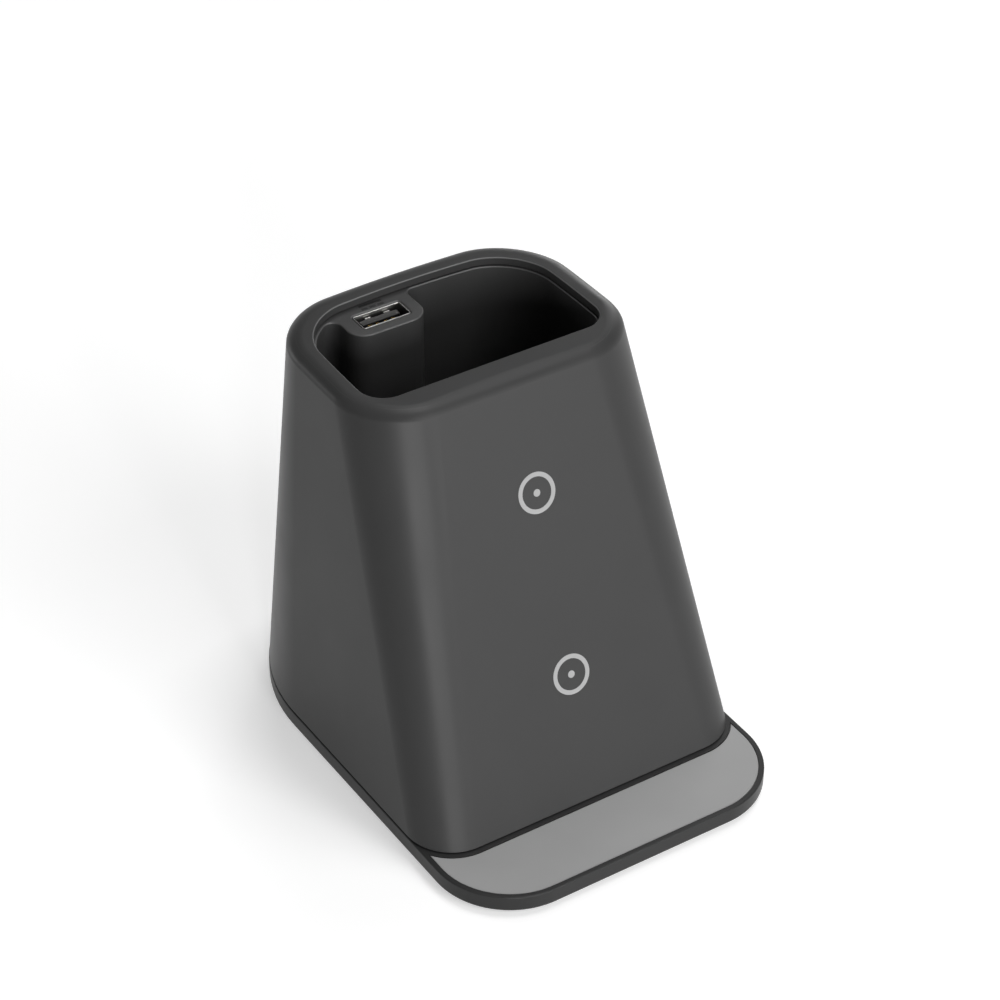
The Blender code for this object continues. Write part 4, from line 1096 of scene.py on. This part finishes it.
def seen_share(tree):
    """1 for rays from the camera, from a glossy surface or through a clear one, 0 for others."""
    rays = add(tree, "ShaderNodeLightPath").outputs
    mirrored = add(
        tree,
        "ShaderNodeMath",
        {0: rays["Is Camera Ray"], 1: rays["Is Glossy Ray"]},
        operation="MAXIMUM",
    )
    seen = add(
        tree,
        "ShaderNodeMath",
        {0: mirrored.outputs["Value"], 1: rays["Is Transmission Ray"]},
        operation="MAXIMUM",
    )
    return seen.outputs["Value"]


def make_floor():
    """A pale sweep that stays white to the camera and keeps the object's soft shadow."""
    bpy.ops.mesh.primitive_plane_add(size=floor_size)
    floor = bpy.context.object
    floor.name = "studio_floor"
    made = bpy.data.materials.new("pale_floor")
    made.use_nodes = True
    tree = made.node_tree
    tree.nodes.clear()
    plain = add(tree, "ShaderNodeBsdfDiffuse", {"Color": (floor_bounce,) * 3 + (1.0,)})
    lit = add(tree, "ShaderNodeBsdfDiffuse", {"Color": (floor_seen,) * 3 + (1.0,)})
    glow = add(tree, "ShaderNodeEmission", {"Color": WHITE, "Strength": floor_glow})
    bright = add(tree, "ShaderNodeAddShader", {0: lit.outputs[0], 1: glow.outputs[0]})
    mixed = add(
        tree,
        "ShaderNodeMixShader",
        {"Fac": seen_share(tree), 1: plain.outputs[0], 2: bright.outputs[0]},
    )
    add(tree, "ShaderNodeOutputMaterial", {"Surface": mixed.outputs[0]})
    floor.data.materials.append(made)


def make_world():
    """A white backdrop round the floor under a dim ceiling where it is seen, else a dim fill."""
    world = bpy.data.worlds.new("studio")
    bpy.context.scene.world = world
    world.use_nodes = True
    tree = world.node_tree
    tree.nodes.clear()
    room = add(tree, "ShaderNodeBackground", {"Color": WHITE, "Strength": room_glow})
    direction = add(tree, "ShaderNodeTexCoord").outputs["Generated"]
    backdrop = add(
        tree,
        "ShaderNodeMapRange",
        {
            "Value": add(tree, "ShaderNodeSeparateXYZ", {"Vector": direction}).outputs["Z"],
            "From Min": backdrop_full,
            "From Max": backdrop_ends,
            "To Min": 1.0,
            "To Max": room_glow,
        },
    )
    white = add(
        tree,
        "ShaderNodeBackground",
        {"Color": WHITE, "Strength": backdrop.outputs["Result"]},
    )
    mixed = add(
        tree,
        "ShaderNodeMixShader",
        {"Fac": seen_share(tree), 1: room.outputs[0], 2: white.outputs[0]},
    )
    add(tree, "ShaderNodeOutputWorld", {"Surface": mixed.outputs[0]})


def make_lights():
    """Softboxes round the body, all aimed at it."""
    for name, (azimuth, elevation, width, height, power) in lamps.items():
        light = bpy.data.lights.new(name, "AREA")
        light.shape = "RECTANGLE"
        light.size = width
        light.size_y = height
        light.energy = power
        lamp = bpy.data.objects.new(name, light)
        bpy.context.scene.collection.objects.link(lamp)
        azimuth, elevation = math.radians(azimuth), math.radians(elevation)
        towards = Vector((math.sin(azimuth), -math.cos(azimuth), math.tan(elevation))).normalized()
        lamp.location = lamp_aim + towards * lamp_distance
        lamp.rotation_euler = (-towards).to_track_quat("-Z", "Y").to_euler()


def make_camera():
    camera_data = bpy.data.cameras.new("camera")
    camera = bpy.data.objects.new("camera", camera_data)
    bpy.context.scene.collection.objects.link(camera)
    camera_data.sensor_width = camera_sensor
    camera_data.lens = camera_lens
    camera_data.clip_start = camera_nearest
    azimuth, elevation, roll = map(math.radians, camera_turn)
    turn = (
        Matrix.Rotation(azimuth, 4, "Z")
        @ Matrix.Rotation(math.pi / 2 - elevation, 4, "X")
        @ Matrix.Rotation(-roll, 4, "Z")
    )
    camera.matrix_world = Matrix.Translation(camera_place) @ turn
    bpy.context.scene.camera = camera


def dress_hidden_nodes(finishes):
    """The nodes whose shape stays as packed get their finish by the record's slot."""
    by_slot = {
        "base_plastic": "base",
        "bracket_nylon": "bracket",
        "zinc_steel": "steel",
        "socket_metal": "nickel",
        "socket_plastic": "insulator",
        "coil_copper": "copper",
        "ferrite": "ferrite",
        "circuit_board": "board",
        "chip_epoxy": "chip",
        "capacitor_film": "film",
        "aluminium_can": "can",
        "lead_sleeve": "lead",
        "cable_sleeve": "cable",
    }
    for part in frame["record"]["subparts"]:
        node = nodes[part["node"]]
        if node.hide_render:
            continue
        finish = finishes[by_slot[part["material_slot"]]]
        for place in node.material_slots:
            place.material = finish


def main():
    make_camera()
    finishes = make_finishes()
    make_body(finishes["body"])
    make_cup(finishes["cup"])
    make_outlet(finishes["nickel"], finishes["insulator"], finishes["gold"])
    make_deck_mark(finishes["stamp"])
    make_inlet(finishes["nickel"], finishes["gold"])
    make_base(finishes["base"])
    make_pad(finishes["pad"])
    make_feet(finishes["rubber"])
    make_rings(finishes["ink"])
    dress_hidden_nodes(finishes)
    make_floor()
    make_world()
    make_lights()
    bpy.context.scene.view_settings.view_transform = "Standard"


main()
